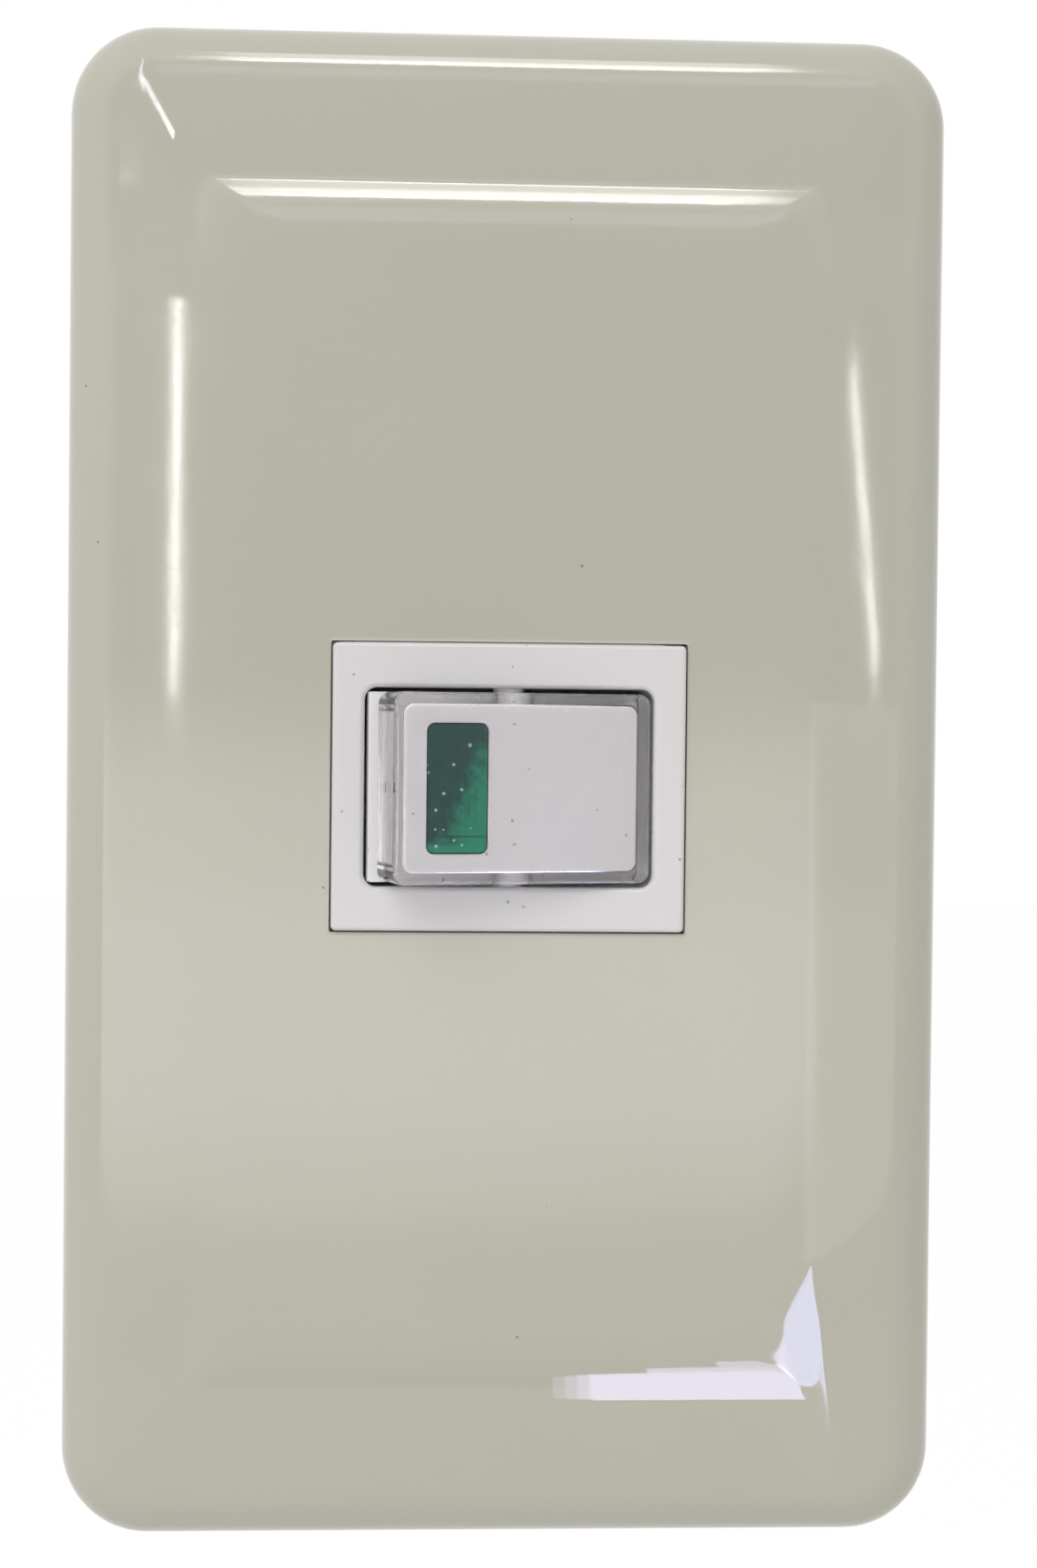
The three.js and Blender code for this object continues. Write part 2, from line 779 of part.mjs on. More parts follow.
function moduleBezel() {
  const w = moduleWidth / 2;
  const h = moduleHeight / 2;
  const body = loft([
    { w, h, corner: bezelEdge, z: bezelBack },
    { w, h, corner: bezelEdge, z: bezelTop - bezelEdge },
    { w: w - bezelEdge / 4, h: h - bezelEdge / 4, corner: bezelEdge, z: bezelTop - bezelEdge / 4 },
    { w: w - bezelEdge, h: h - bezelEdge, corner: bezelEdge, z: bezelTop },
  ]);
  const openW = openingWidth / 2;
  const openH = openingHeight / 2;
  const mouth = (spread, z) => ({ w: openW + spread, h: openH + spread, corner: openingCorner, z });
  const opening = loft([
    mouth(0, bezelBack - overrun),
    mouth(0, bezelTop - openingLip),
    mouth(openingLip / 4, bezelTop - openingLip / 3),
    mouth(openingLip, bezelTop),
    mouth(openingLip, bezelTop + overrun),
  ]);
  const pocketLow = openH + collarWall;
  const pocketHigh = h - bezelWall;
  const pocket = block(
    [bearingWidth / 2, pocketLow, bezelBack - overrun],
    [openW, pocketHigh, bezelTop - bezelFaceWall],
  );
  const slotRadius = trunnionRadius + runningGap;
  const slotEnd = capWidth / 2 + trunnionReach + bearingFloor;
  const slotRound = alongY(rod(slotRadius, 0, slotEnd)).translate([0, 0, pivotHeight]);
  const slotWay = block([-slotRadius, 0, bezelBack - overrun], [slotRadius, slotEnd, pivotHeight]);
  const slot = slotRound.add(slotWay);
  const cuts = [1, -1].flatMap((side) => [
    pocket.scale([1, side, 1]),
    pocket.scale([-1, side, 1]),
    slot.scale([1, side, 1]),
  ]);
  const legs = [1, -1].flatMap((side) => [bezelLeg(side, 1), bezelLeg(side, -1)]);
  return join(cut(body, opening, ...cuts), ...legs);
}

// Module base

// A ramped lug that fills a bezel leg's window
function baseWedge(side, across) {
  const foot = bezelBack - legLength + legWindowFoot + wedgeGap;
  const head = foot + legWindowHeight - 2 * wedgeGap;
  const root = baseHeight / 2 - weld;
  const outline = [
    [root, foot],
    [legOuter - fitGap, foot],
    [legOuter - fitGap, foot + (head - foot) / 3],
    [legInner, head],
    [root, head],
  ];
  const x0 = legStart + (legWidth - legWindowWidth) / 2 + wedgeGap;
  return barAlongX(outline, x0, x0 + legWindowWidth - 2 * wedgeGap).scale([across, side, 1]);
}

function baseCatch() {
  const x = baseWidth / 2;
  const top = -seatGap;
  const outline = [
    [x - weld, top],
    [x + catchReach, top],
    [x + catchReach, top - catchHeight / 3],
    [x - weld, top - catchHeight],
  ];
  return barAlongY([...outline].reverse(), -catchWidth / 2, catchWidth / 2);
}

function lampPost(side) {
  const low = [
    -lampOffset - postWidth / 2,
    side * postOffset - postThickness / 2,
    chamberFloor - weld,
  ];
  const high = [
    -lampOffset + postWidth / 2,
    side * postOffset + postThickness / 2,
    lampHeight - lampRadius / 2,
  ];
  const seat = alongY(rod(lampRadius + seatGap, -overrun, overrun)).translate([
    -lampOffset,
    side * postOffset,
    lampHeight,
  ]);
  return cut(block(low, high), seat);
}

function resistorSaddle(side) {
  const low = [
    side * saddleSpread - saddleThickness / 2,
    -resistorOffset - resistorRadius,
    chamberFloor - weld,
  ];
  const high = [
    side * saddleSpread + saddleThickness / 2,
    -resistorOffset + resistorRadius,
    resistorHeight - resistorWaist / 3,
  ];
  const seat = alongX(rod(resistorWaist + seatGap, -overrun, overrun)).translate([
    side * saddleSpread,
    -resistorOffset,
    resistorHeight,
  ]);
  return cut(block(low, high), seat);
}

const resistorHeight = stripFront + resistorRadius / 2;

function moduleBase() {
  const body = slab(baseWidth, baseHeight, baseCorner, baseBack, baseTop);
  const chamber = slab(
    baseWidth - 2 * baseWall,
    baseHeight - 2 * baseWall,
    baseCorner,
    chamberFloor,
    baseTop + overrun,
  );
  const pocketInner = blockOuter - blockWidth - seatGap;
  const pocketHalf = blockHeight / 2 + seatGap;
  const pocket = block(
    [pocketInner, -pocketHalf, pocketBack],
    [baseWidth / 2 - baseWall, pocketHalf, chamberFloor + overrun],
  );
  const driver = alongX(rod(driverHoleRadius, pocketInner, baseWidth)).translate([0, 0, screwHeight]);
  const entry = rod(wireHoleRadius, baseBack - overrun, pocketBack + overrun).translate([
    blockCentre,
    0,
    0,
  ]);
  const gauge = rod(stripGaugeRadius, baseBack - overrun, baseBack + stripGaugeDepth).translate([
    blockCentre,
    0,
    0,
  ]);
  const slots = [-1, 1].map((side) =>
    centredBlock(
      2 * overrun + baseWall,
      catchSlotWidth,
      baseTop - catchSlotDepth,
      baseTop + overrun,
      baseWidth / 2,
      side * (catchWidth / 2 + catchSlotWidth / 2),
    ),
  );
  const oneSide = [pocket, driver, entry, gauge, ...slots];
  const hollowed = cut(body, chamber, ...oneSide, ...oneSide.map(mirrored));
  const lugs = [1, -1].flatMap((side) => [baseWedge(side, 1), baseWedge(side, -1)]);
  const hook = baseCatch();
  const posts = [-1, 1].flatMap((side) => [lampPost(side), resistorSaddle(side)]);
  return join(hollowed, hook, mirrored(hook), ...lugs, ...posts);
}

// Rocker, drawn level about its pivot

function rockerBody() {
  const blockBody = slab(rockerLength, rockerWidth, rockerCorner, ledgeTop - ledgeThickness, rockerTop);
  const disc = alongY(rod(skirtRadius, -capWidth / 2, capWidth / 2, 3 * roundSides));
  const skirt = disc.intersect(slab(2 * skirtRadius, capWidth, capCorner, -skirtDrop, ledgeTop));
  const innerDisc = alongY(
    rod(skirtRadius - skirtWall, -rockerWidth / 2, rockerWidth / 2, 3 * roundSides),
  );
  const hollow = innerDisc.intersect(
    centredBlock(2 * skirtRadius, capWidth, -skirtDrop - overrun, ledgeTop - ledgeThickness),
  );
  const inside = slab(
    rockerLength - 2 * rockerWall,
    rockerWidth - 2 * rockerWall,
    rockerCorner,
    ledgeTop - ledgeThickness - overrun,
    rockerTop - rockerTopWall,
  );
  const shell = cut(join(skirt, blockBody), hollow, inside);
  const underTop = rockerTop - rockerTopWall;
  const stem = rod(stemRadius, -stemDrop, underTop + weld);
  const web = centredBlock(webThickness, rockerWidth - rockerWall, -webDrop, underTop + weld);
  const reach = capWidth / 2 + trunnionReach;
  const trunnion = alongY(rod(trunnionRadius, -reach, reach)).subtract(
    centredBlock(2 * skirtRadius, rockerWidth - rockerWall, -stemDrop, capTop),
  );
  const boss = alongY(rod(trunnionBossRadius, -capWidth / 2, capWidth / 2)).subtract(
    centredBlock(2 * skirtRadius, rockerWidth - rockerWall, -stemDrop, capTop),
  );
  const bore = rod(plungerRadius + runningGap, -stemDrop - overrun, stemBoreTop);
  const window = slab(
    lensWidth + 2 * fitGap,
    lensHeight + 2 * fitGap,
    lensCorner + fitGap,
    underTop - overrun,
    rockerTop + overrun,
    -lensOffset,
  );
  return cut(join(shell, stem, web, boss, trunnion), bore, window);
}

function rockerCap() {
  const w = capLength / 2;
  const h = capWidth / 2;
  const ring = (inset, z) => ({ w: w - inset, h: h - inset, corner: capCorner - inset / 2, z });
  const outer = loft([
    ring(0, -capFoot),
    ring(0, capTop - capCrown),
    ring(capCrown / 4, capTop - capCrown / 4),
    ring(capCrown, capTop),
  ]);
  const inner = slab(
    capLength - 2 * capWall,
    capWidth - 2 * capWall,
    capCorner,
    -capFoot - overrun,
    capTop - capWall,
  );
  const notch = alongY(rod(trunnionBossRadius + fitGap, -capWidth, capWidth));
  const notchWay = centredBlock(
    2 * (trunnionBossRadius + fitGap),
    2 * capWidth,
    -capFoot - overrun,
    0,
  );
  return cut(outer, inner, notch, notchWay);
}

function indicatorLens() {
  const underTop = rockerTop - rockerTopWall;
  const paneBack = underTop - lensFlangeThickness;
  const pane = slab(lensWidth, lensHeight, lensCorner, paneBack, rockerTop, -lensOffset);
  const flange = slab(
    lensWidth + 2 * lensFlange,
    lensHeight + 2 * lensFlange,
    lensCorner,
    paneBack,
    underTop - fitGap,
    -lensOffset,
  );
  return join(pane, flange);
}

function plungerBody() {
  const tip = -plungerReach;
  const arc = [];
  for (let k = 0; k <= cornerSteps; k++) {
    const angle = ((k / cornerSteps) * halfTurn) / 2;
    arc.push([plungerTipRadius * Math.sin(angle), tip - plungerTipRadius * Math.cos(angle)]);
  }
  arc[0][0] = 0;
  return turned([
    ...arc,
    [plungerRadius, tip + plungerShoulder],
    [plungerRadius, -plungerHeadDrop],
    [spigotRadius, -plungerHeadDrop],
    [spigotRadius, -plungerHeadDrop + spigotHeight],
    [0, -plungerHeadDrop + spigotHeight],
  ]);
}

// An open coil between the stem's bore end and the plunger's upper face
class Coil extends THREE.Curve {
  constructor(radius, low, high, turns) {
    super();
    Object.assign(this, { radius, low, high, turns });
  }
  getPoint(t, target = new THREE.Vector3()) {
    const angle = 2 * halfTurn * this.turns * t;
    const height = this.low + (this.high - this.low) * t;
    return target.set(this.radius * Math.cos(angle), this.radius * Math.sin(angle), height);
  }
}

function plungerSpring() {
  const low = -plungerHeadDrop + springEndGap + springWire;
  const high = stemBoreTop - springEndGap - springWire;
  const path = new Coil(springRadius, low, high, springTurns);
  return tube(path, springWire, coilSides, coilSteps * springTurns);
}

// Contact arm, drawn level about its fulcrum

const tan = (angle) => Math.tan(angle * degree);
const armWingEnd = armApex + wingLength * tan(wingSlope);

// Underside of the arm at the contact, where its right end is bent to meet the fixed contact squarely
const armContactBack =
  armWingEnd + (armContactReach - wingLength) * tan(armSwing) - armThickness / Math.cos(armSwing * degree);

function armOutline() {
  const end = armContactReach + armTail;
  const thin = armThickness / Math.cos(armSwing * degree);
  return [
    [0, 0],
    [wingLength, armWingEnd - armApex],
    [end, armWingEnd + (end - wingLength) * tan(armSwing) - thin],
    [end, armWingEnd + (end - wingLength) * tan(armSwing)],
    [wingLength, armWingEnd],
    [0, armApex],
    [-wingLength, armWingEnd],
    [-wingLength - kneeLength, armWingEnd],
    [-wingLength - kneeLength, armWingEnd - armApex],
    [-wingLength, armWingEnd - armApex],
  ];
}

function contactArm() {
  const arm = barAlongY(armOutline(), -armWidth / 2, armWidth / 2);
  const shank = contactShankRadius + runningGap;
  const hole = rod(shank, -overrun - contactRadius, 2 * contactRadius, smallSides);
  return cut(arm, atArmContact(hole));
}

// A contact rivet: domed head from z = 0 forward, shank backward through its strip
function contactRivet() {
  const dome = contactHeight / 4;
  return turned(
    [
      [0, -stripThickness - seatGap - rivetTail],
      [contactShankRadius, -stripThickness - seatGap - rivetTail],
      [contactShankRadius, 0],
      [contactRadius, 0],
      [contactRadius, contactHeight - 2 * dome],
      [contactRadius * Math.cos(halfTurn / 5), contactHeight - dome / 2],
      [0, contactHeight],
    ],
    smallSides,
  );
}

// Put a z-axis solid on the arm's underside at the contact, square to the bent end
function atArmContact(made) {
  return made.rotate([0, -armSwing, 0]).translate([armContactReach, 0, armContactBack]);
}

const movingContact = () => atArmContact(contactRivet().rotate([180, 0, 0]).translate([0, 0, -runningGap]));

// Where the arm's contact comes to when closed, in the module's frame
const closedX =
  armContactReach * Math.cos(armSwing * degree) + armContactBack * Math.sin(armSwing * degree);
const closedZ =
  fulcrumHeight -
  armContactReach * Math.sin(armSwing * degree) +
  armContactBack * Math.cos(armSwing * degree);
const fixedContactTop = closedZ - runningGap - contactHeight - contactGap;
const fixedContactBack = fixedContactTop - contactHeight;

// Terminals and strips

function terminalBlock() {
  const body = centredBlock(blockWidth, blockHeight, blockBack, blockFront, -blockCentre);
  const edges = [-1, 1].map((side) =>
    centredBlock(blockEdge * 2, blockHeight * 2, 0, blockEdge * 2)
      .rotate([0, 45, 0])
      .translate([-blockCentre + side * (blockWidth / 2 + blockEdge / 2), 0, blockBack - blockEdge]),
  );
  const tenon = rod(tenonRadius, blockFront - weld, stripFront + rivetTail, smallSides).translate([
    -blockCentre,
    0,
    0,
  ]);
  const bore = rod(blockBoreRadius, blockBack - overrun, blockBack + blockBoreDepth).translate([
    -blockCentre,
    0,
    0,
  ]);
  const thread = alongX(rod(terminalScrewRadius + runningGap, -blockOuter - overrun, -blockCentre));
  return cut(join(body, tenon), ...edges, bore, thread.translate([0, 0, screwHeight]));
}

function terminalScrew() {
  const headBack = blockOuter + seatGap;
  const length = headBack - blockCentre - blockBoreRadius / 2;
  const screw = turned([
    [0, -length],
    [terminalScrewRadius - terminalScrewPoint, -length],
    [terminalScrewRadius, -length + terminalScrewPoint],
    [terminalScrewRadius, 0],
    [terminalHeadRadius, 0],
    [terminalHeadRadius, terminalHeadHeight - terminalScrewPoint],
    [terminalHeadRadius - terminalScrewPoint, terminalHeadHeight],
    [0, terminalHeadHeight],
  ]);
  const slot = centredBlock(
    2 * terminalHeadRadius + overrun,
    screwSlotWidth,
    terminalHeadHeight - terminalSlotDepth,
    terminalHeadHeight + overrun,
  );
  return cut(screw, slot)
    .rotate([0, -90, 0])
    .translate([-headBack, 0, screwHeight]);
}

function tenonHole(x) {
  const hole = rod(tenonRadius + fitGap, stripBack - overrun, stripFront + overrun, smallSides);
  return hole.translate([x, 0, 0]);
}

function fulcrumStrip() {
  const edge = fulcrumHeight - seatGap;
  const half = stripThickness / 2;
  const outline = [
    [-blockOuter, stripBack],
    [half, stripBack],
    [half, edge - knifeRise],
    [knifeWidth / 2, edge],
    [-knifeWidth / 2, edge],
    [-half, edge - knifeRise],
    [-half, stripFront],
    [-blockOuter, stripFront],
  ];
  return cut(barAlongY(outline, -stripWidth / 2, stripWidth / 2), tenonHole(-blockCentre));
}

function contactStrip() {
  const front = fixedContactBack - runningGap;
  const outline = [
    [blockOuter - blockWidth, stripBack],
    [blockOuter, stripBack],
    [blockOuter, front],
    [closedX - contactRadius, front],
    [closedX - contactRadius, front - stripThickness],
    [blockOuter - stripThickness, front - stripThickness],
    [blockOuter - stripThickness, stripFront],
    [blockOuter - blockWidth, stripFront],
  ];
  const shank = contactShankRadius + runningGap;
  const hole = rod(shank, front - 2 * stripThickness, front + overrun, smallSides);
  return cut(
    barAlongY(outline, -stripWidth / 2, stripWidth / 2),
    tenonHole(blockCentre),
    hole.translate([closedX, 0, 0]),
  );
}

const fixedContact = () => contactRivet().translate([closedX, 0, fixedContactBack]);

// Pilot lamp, its resistor and the stiff leads

function pilotLamp() {
  const half = lampLength / 2;
  const dome = [];
  for (let k = 1; k <= cornerSteps; k++) {
    const angle = ((k / cornerSteps) * halfTurn) / 2;
    dome.unshift([lampRadius * Math.sin(angle), half - lampRadius * (1 - Math.cos(angle))]);
  }
  const made = turned([
    [0, -half],
    [lampRadius * Math.cos(halfTurn / 6), -half],
    [lampRadius, -half + lampPip],
    ...dome,
    [lampPip / 2, half + lampPip / 2],
    [0, half + lampPip],
  ]);
  return alongY(made).translate([-lampOffset, 0, lampHeight]);
}

function resistorBody() {
  const half = resistorLength / 2;
  const cap = resistorRadius;
  const made = turned(
    [
      [0, -half],
      [resistorWaist * Math.cos(halfTurn / 6), -half],
      [resistorRadius, -half + cap / 3],
      [resistorRadius, -half + cap],
      [resistorWaist, -half + cap * Math.sqrt(2)],
      [resistorWaist, half - cap * Math.sqrt(2)],
      [resistorRadius, half - cap],
      [resistorRadius, half - cap / 3],
      [resistorWaist * Math.cos(halfTurn / 6), half],
      [0, half],
    ],
    smallSides,
  );
  return alongX(made).translate([0, -resistorOffset, resistorHeight]);
}

const lampEndUpper = lampLength / 2 + lampPip + leadGap;
const lampEndLower = -lampLength / 2 - leadGap;
const leadBend = 2 * leadRadius;
const leadSeat = stripFront + leadRadius + leadGap;

function leadToLine() {
  const y = lampEndUpper + leadStandOff / 2;
  const beside = -lampOffset - postWidth / 2 - leadRadius - leadGap;
  return wire(
    [
      [-lampOffset, lampEndUpper, lampHeight],
      [-lampOffset, y, lampHeight],
      [-lampOffset, y, leadSeat],
      [beside, y, leadSeat],
      [beside, stripWidth / 4, leadSeat],
    ],
    leadBend,
  );
}

function leadToResistor() {
  const y = lampEndLower - leadStandOff;
  return wire(
    [
      [-lampOffset, lampEndLower, lampHeight],
      [-lampOffset, y, lampHeight],
      [-lampOffset, y, resistorHeight],
      [-lampOffset, -resistorOffset, resistorHeight],
      [-resistorLength / 2 - leadGap, -resistorOffset, resistorHeight],
    ],
    leadBend,
  );
}

function leadToLoad() {
  return wire(
    [
      [resistorLength / 2 + leadGap, -resistorOffset, resistorHeight],
      [leadRiser, -resistorOffset, resistorHeight],
      [leadRiser, -resistorOffset, leadSeat],
      [leadRiser, -stripWidth / 4, leadSeat],
    ],
    leadBend,
  );
}

// Materials
const finish = (color, roughness, metalness = 0) =>
  new THREE.MeshStandardMaterial({ color, roughness, metalness });
const ivoryPlastic = () => finish(0xc9c4b2, 0.25);
const whitePlastic = () => finish(0xe9e7ec, 0.35);
const greyPlastic = () => finish(0xb8b8b4, 0.5);
const basePlastic = () => finish(0xe4e2dc, 0.45);
const platedSteel = () => finish(0xc3c6c4, 0.35, 1);
const brass = () => finish(0xc9a24e, 0.3, 1);
const silver = () => finish(0xdedcd6, 0.3, 1);
const copper = () => finish(0xc48a5a, 0.3, 1);

function piece(name, made, material) {
  const mesh = new THREE.Mesh(geometryOf(made), material);
  mesh.name = name;
  return mesh;
}

// The fixed pieces
const fixed = new THREE.Group();
fixed.add(
  piece("face_plate", facePlate(), ivoryPlastic()),
  piece("inner_frame", innerFrame(), greyPlastic()),
  piece("mounting_strap", mountingStrap(), platedSteel()),
  piece("module_bezel", moduleBezel(), whitePlastic()),
  piece("module_base", moduleBase(), basePlastic()),
  piece("line_terminal_block", terminalBlock(), brass()),
  piece("load_terminal_block", mirrored(terminalBlock()), brass()),
  piece("line_terminal_screw", terminalScrew(), platedSteel()),
  piece("load_terminal_screw", mirrored(terminalScrew()), platedSteel()),
  piece("fulcrum_strip", fulcrumStrip(), copper()),
  piece("contact_strip", contactStrip(), copper()),
  piece("fixed_contact", fixedContact(), silver()),
  piece("pilot_lamp", pilotLamp(), finish(0xd8d4cc, 0.05)),
  piece("lamp_resistor", resistorBody(), finish(0xb59a6a, 0.6)),
  piece("lamp_lead_line", leadToLine(), silver()),
  piece("lamp_lead_load", leadToResistor(), silver()),
  piece("resistor_lead", leadToLoad(), silver()),
);

// The screws, upper and lower
for (const [word, side] of [
  ["upper", 1],
  ["lower", -1],
]) {
  const boxScrew = slottedScrew(boxScrewRadius, boxScrewLength, boxHeadRadius, boxHeadHeight);
  const boxMesh = piece("box_screw_" + word, boxScrew, platedSteel());
  boxMesh.position.set(0, (side * boxScrewSpacing) / 2, strapThickness + seatGap);
  const plateScrew = slottedScrew(plateScrewRadius, plateScrewLength, plateHeadRadius, plateHeadHeight);
  const plateMesh = piece("plate_screw_" + word, plateScrew, platedSteel());
  plateMesh.position.set(0, (side * plateScrewSpacing) / 2, frameFront + seatGap);
  fixed.add(boxMesh, plateMesh);
}

// The rocker and what rides in it, tilted to its rest
const rockerGroup = new THREE.Group();
rockerGroup.position.set(0, 0, pivotHeight);
rockerGroup.rotation.y = restTilt * degree;
rockerGroup.add(
  piece("rocker", rockerBody(), whitePlastic()),
  piece("rocker_cap", rockerCap(), finish(0xdfe3e6, 0.05)),
  piece("indicator_lens", indicatorLens(), finish(0x1f7f62, 0.15)),
  piece("plunger_spring", plungerSpring(), platedSteel()),
  piece("plunger", plungerBody(), brass()),
);

// The contact arm, tipped towards the side that the plunger presses
const armGroup = new THREE.Group();
armGroup.position.set(0, 0, fulcrumHeight);
armGroup.rotation.y = -armSwing * degree;
armGroup.add(
  piece("contact_arm", contactArm(), copper()),
  piece("moving_contact", movingContact(), silver()),
);

// The whole switch, turned so that +Z is up and the front faces -Y
const wallSwitch = new THREE.Group();
wallSwitch.rotation.x = halfTurn / 2;
wallSwitch.add(fixed, rockerGroup, armGroup);

export default wallSwitch;
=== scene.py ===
"""Visible pieces, finishes and stage of a one-gang rocker wall switch with a pilot window."""

import json
import math

import bmesh
import bpy
from mathutils import Matrix, Vector

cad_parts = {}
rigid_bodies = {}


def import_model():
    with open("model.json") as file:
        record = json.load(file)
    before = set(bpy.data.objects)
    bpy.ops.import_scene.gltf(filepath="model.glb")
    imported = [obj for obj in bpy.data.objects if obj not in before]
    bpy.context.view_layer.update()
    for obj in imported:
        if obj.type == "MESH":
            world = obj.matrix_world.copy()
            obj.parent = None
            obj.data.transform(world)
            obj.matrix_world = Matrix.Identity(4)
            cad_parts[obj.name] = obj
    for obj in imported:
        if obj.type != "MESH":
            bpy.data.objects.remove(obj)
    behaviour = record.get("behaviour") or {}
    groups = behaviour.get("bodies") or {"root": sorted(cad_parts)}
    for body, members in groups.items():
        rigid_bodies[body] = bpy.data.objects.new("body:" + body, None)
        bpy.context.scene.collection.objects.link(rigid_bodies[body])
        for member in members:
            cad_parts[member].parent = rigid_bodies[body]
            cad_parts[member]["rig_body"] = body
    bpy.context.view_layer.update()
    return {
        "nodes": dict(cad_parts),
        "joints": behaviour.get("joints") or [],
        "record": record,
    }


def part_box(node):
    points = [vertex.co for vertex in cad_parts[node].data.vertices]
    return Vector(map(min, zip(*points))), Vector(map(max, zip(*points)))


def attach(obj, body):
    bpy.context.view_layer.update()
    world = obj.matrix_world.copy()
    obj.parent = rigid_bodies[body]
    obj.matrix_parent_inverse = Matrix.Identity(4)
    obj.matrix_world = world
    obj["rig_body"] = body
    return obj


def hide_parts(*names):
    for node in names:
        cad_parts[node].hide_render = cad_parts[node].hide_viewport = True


bl_info = {
    "name": "Wall Switch",
    "version": (1, 0, 0),
    "blender": (4, 5, 0),
    "location": "3D View > Sidebar > Wall Switch",
    "description": "Builds the pieces, finishes and stage of a one-gang rocker wall switch",
    "category": "Object",
}

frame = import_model()
joints = {joint["name"]: joint for joint in frame["joints"]}

MM = 0.001
TURN = 2 * math.pi
SINK = 0.2 * MM  # of a shape into the one that it joins
LAP = 1 * MM  # of the rocker's skirt over its body

plate_low, plate_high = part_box("face_plate")
bezel_low, bezel_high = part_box("module_bezel")
bezel_width, bezel_height = bezel_high.x - bezel_low.x, bezel_high.z - bezel_low.z
rocker_pivot = Vector(joints["rocker_tilt"]["pos_m"])
rest_tilt = math.radians(joints["rocker_tilt"]["range_deg"][1]) / 2
rocker_place = Matrix.Translation(rocker_pivot) @ Matrix.Rotation(rest_tilt, 4, "Z")


def length(name, description, millimetres):
    """A length setting, written in millimetres and kept in metres."""
    return bpy.props.FloatProperty(
        name=name,
        description=description,
        default=millimetres * MM,
        subtype="DISTANCE",
        unit="LENGTH",
        precision=5,
    )


def colour(name, description, red, green, blue):
    """A colour setting."""
    return bpy.props.FloatVectorProperty(
        name=name,
        description=description,
        default=(red, green, blue),
        subtype="COLOR",
        min=0,
        max=1,
    )


def share(name, description, value):
    """A setting from nothing to all."""
    return bpy.props.FloatProperty(
        name=name, description=description, default=value, min=0, max=1, subtype="FACTOR"
    )


class PlateSizes(bpy.types.PropertyGroup):
    """Sizes of the face plate's moulding"""

    corner: length("Corner", "Radius of the outline's corners", 7)
    side_height: length("Side height", "Straight part of the outer wall", 2.6)
    edge_width: length("Edge width", "Rounded edge, in from the outline", 4.6)
    shoulder: length("Shoulder", "Height where the rounded edge ends", 7.45)
    margin_x: length("Side margin", "Outline to crease at the sides", 10.2)
    margin_y: length("End margin", "Outline to crease at the top and bottom", 12.6)
    crease: length("Crease height", "Height of the crease round the field", 7.75)
    bulge: length("Bulge", "Crown of the margin", 0.05)
    blend: length("Blend", "Crease to flat field", 5)
    fillet: length("Crease fillet", "Softening of the crease, each way", 0.3)
    shoulder_lift: length("Shoulder lift", "Higher shoulder half-way up the sides", 0.3)
    fade_start: length("Fade start", "A side's crease is whole this far from the middle", 47)
    fade_end: length("Fade end", "A side's crease has run out here", 37)
    shoulder_corner: length("Shoulder corner", "Corner radius where the edge ends", 3)
    crease_corner: length("Crease corner", "Radius of the crease's corners", 1.2)
    field_corner: length("Field corner", "Radius of the field's corners", 4)
    wall: length("Wall", "Thickness of the moulding", 1.8)
    window_gap: length("Window gap", "Plate to bezel, all round", 0.12)
    window_edge: length("Window edge", "Rounding of the window's edge", 0.15)
    collar_wall: length("Collar wall", "Flange round the window", 1.2)
    collar_drop: length("Collar drop", "Depth of the flange", 1.6)
    rib_wall: length("Rib wall", "Thickness of a rib", 1)
    rib_drop: length("Rib drop", "Depth of a rib", 1.3)
    rib_spread: length("Rib spread", "Rib beyond the window's quarter", 13)
    claw_width: length("Claw width", "Width of a side claw", 6)
    claw_spread: length("Claw spread", "Claws above and below the middle", 38)
    claw_reach: length("Claw reach", "Claw's hook, in from the wall", 3.6)
    claw_foot: length("Claw foot", "Height of the claw's foot", 1.1)
    claw_height: length("Claw height", "From the claw's foot to its root", 2.9)


class BezelSizes(bpy.types.PropertyGroup):
    """Sizes of the module's front frame"""

    edge: length("Edge", "Rounding of the outer edge", 0.3)
    side: length("Side", "Outline to opening at the sides", 2.52)
    end: length("End", "Outline to opening at the top and bottom", 3.47)
    corner: length("Opening corner", "Radius of the opening's corners", 1)
    lip: length("Lip", "Rounding of the opening's lip", 0.4)
    back: length("Back", "Height of the frame's back", 1.5)
    leg_start: length("Leg start", "Middle of the module to a leg", 4)
    leg_width: length("Leg width", "Width of a leg", 5)
    leg_length: length("Leg length", "Length of a leg behind the frame", 8)
    leg_wall: length("Leg wall", "Thickness of a leg", 1.1)
    leg_window: length("Leg window", "Width of a leg's window", 3)
    leg_window_height: length("Leg window height", "Height of a leg's window", 2.4)
    leg_foot: length("Leg foot", "Below a leg's window", 1.4)


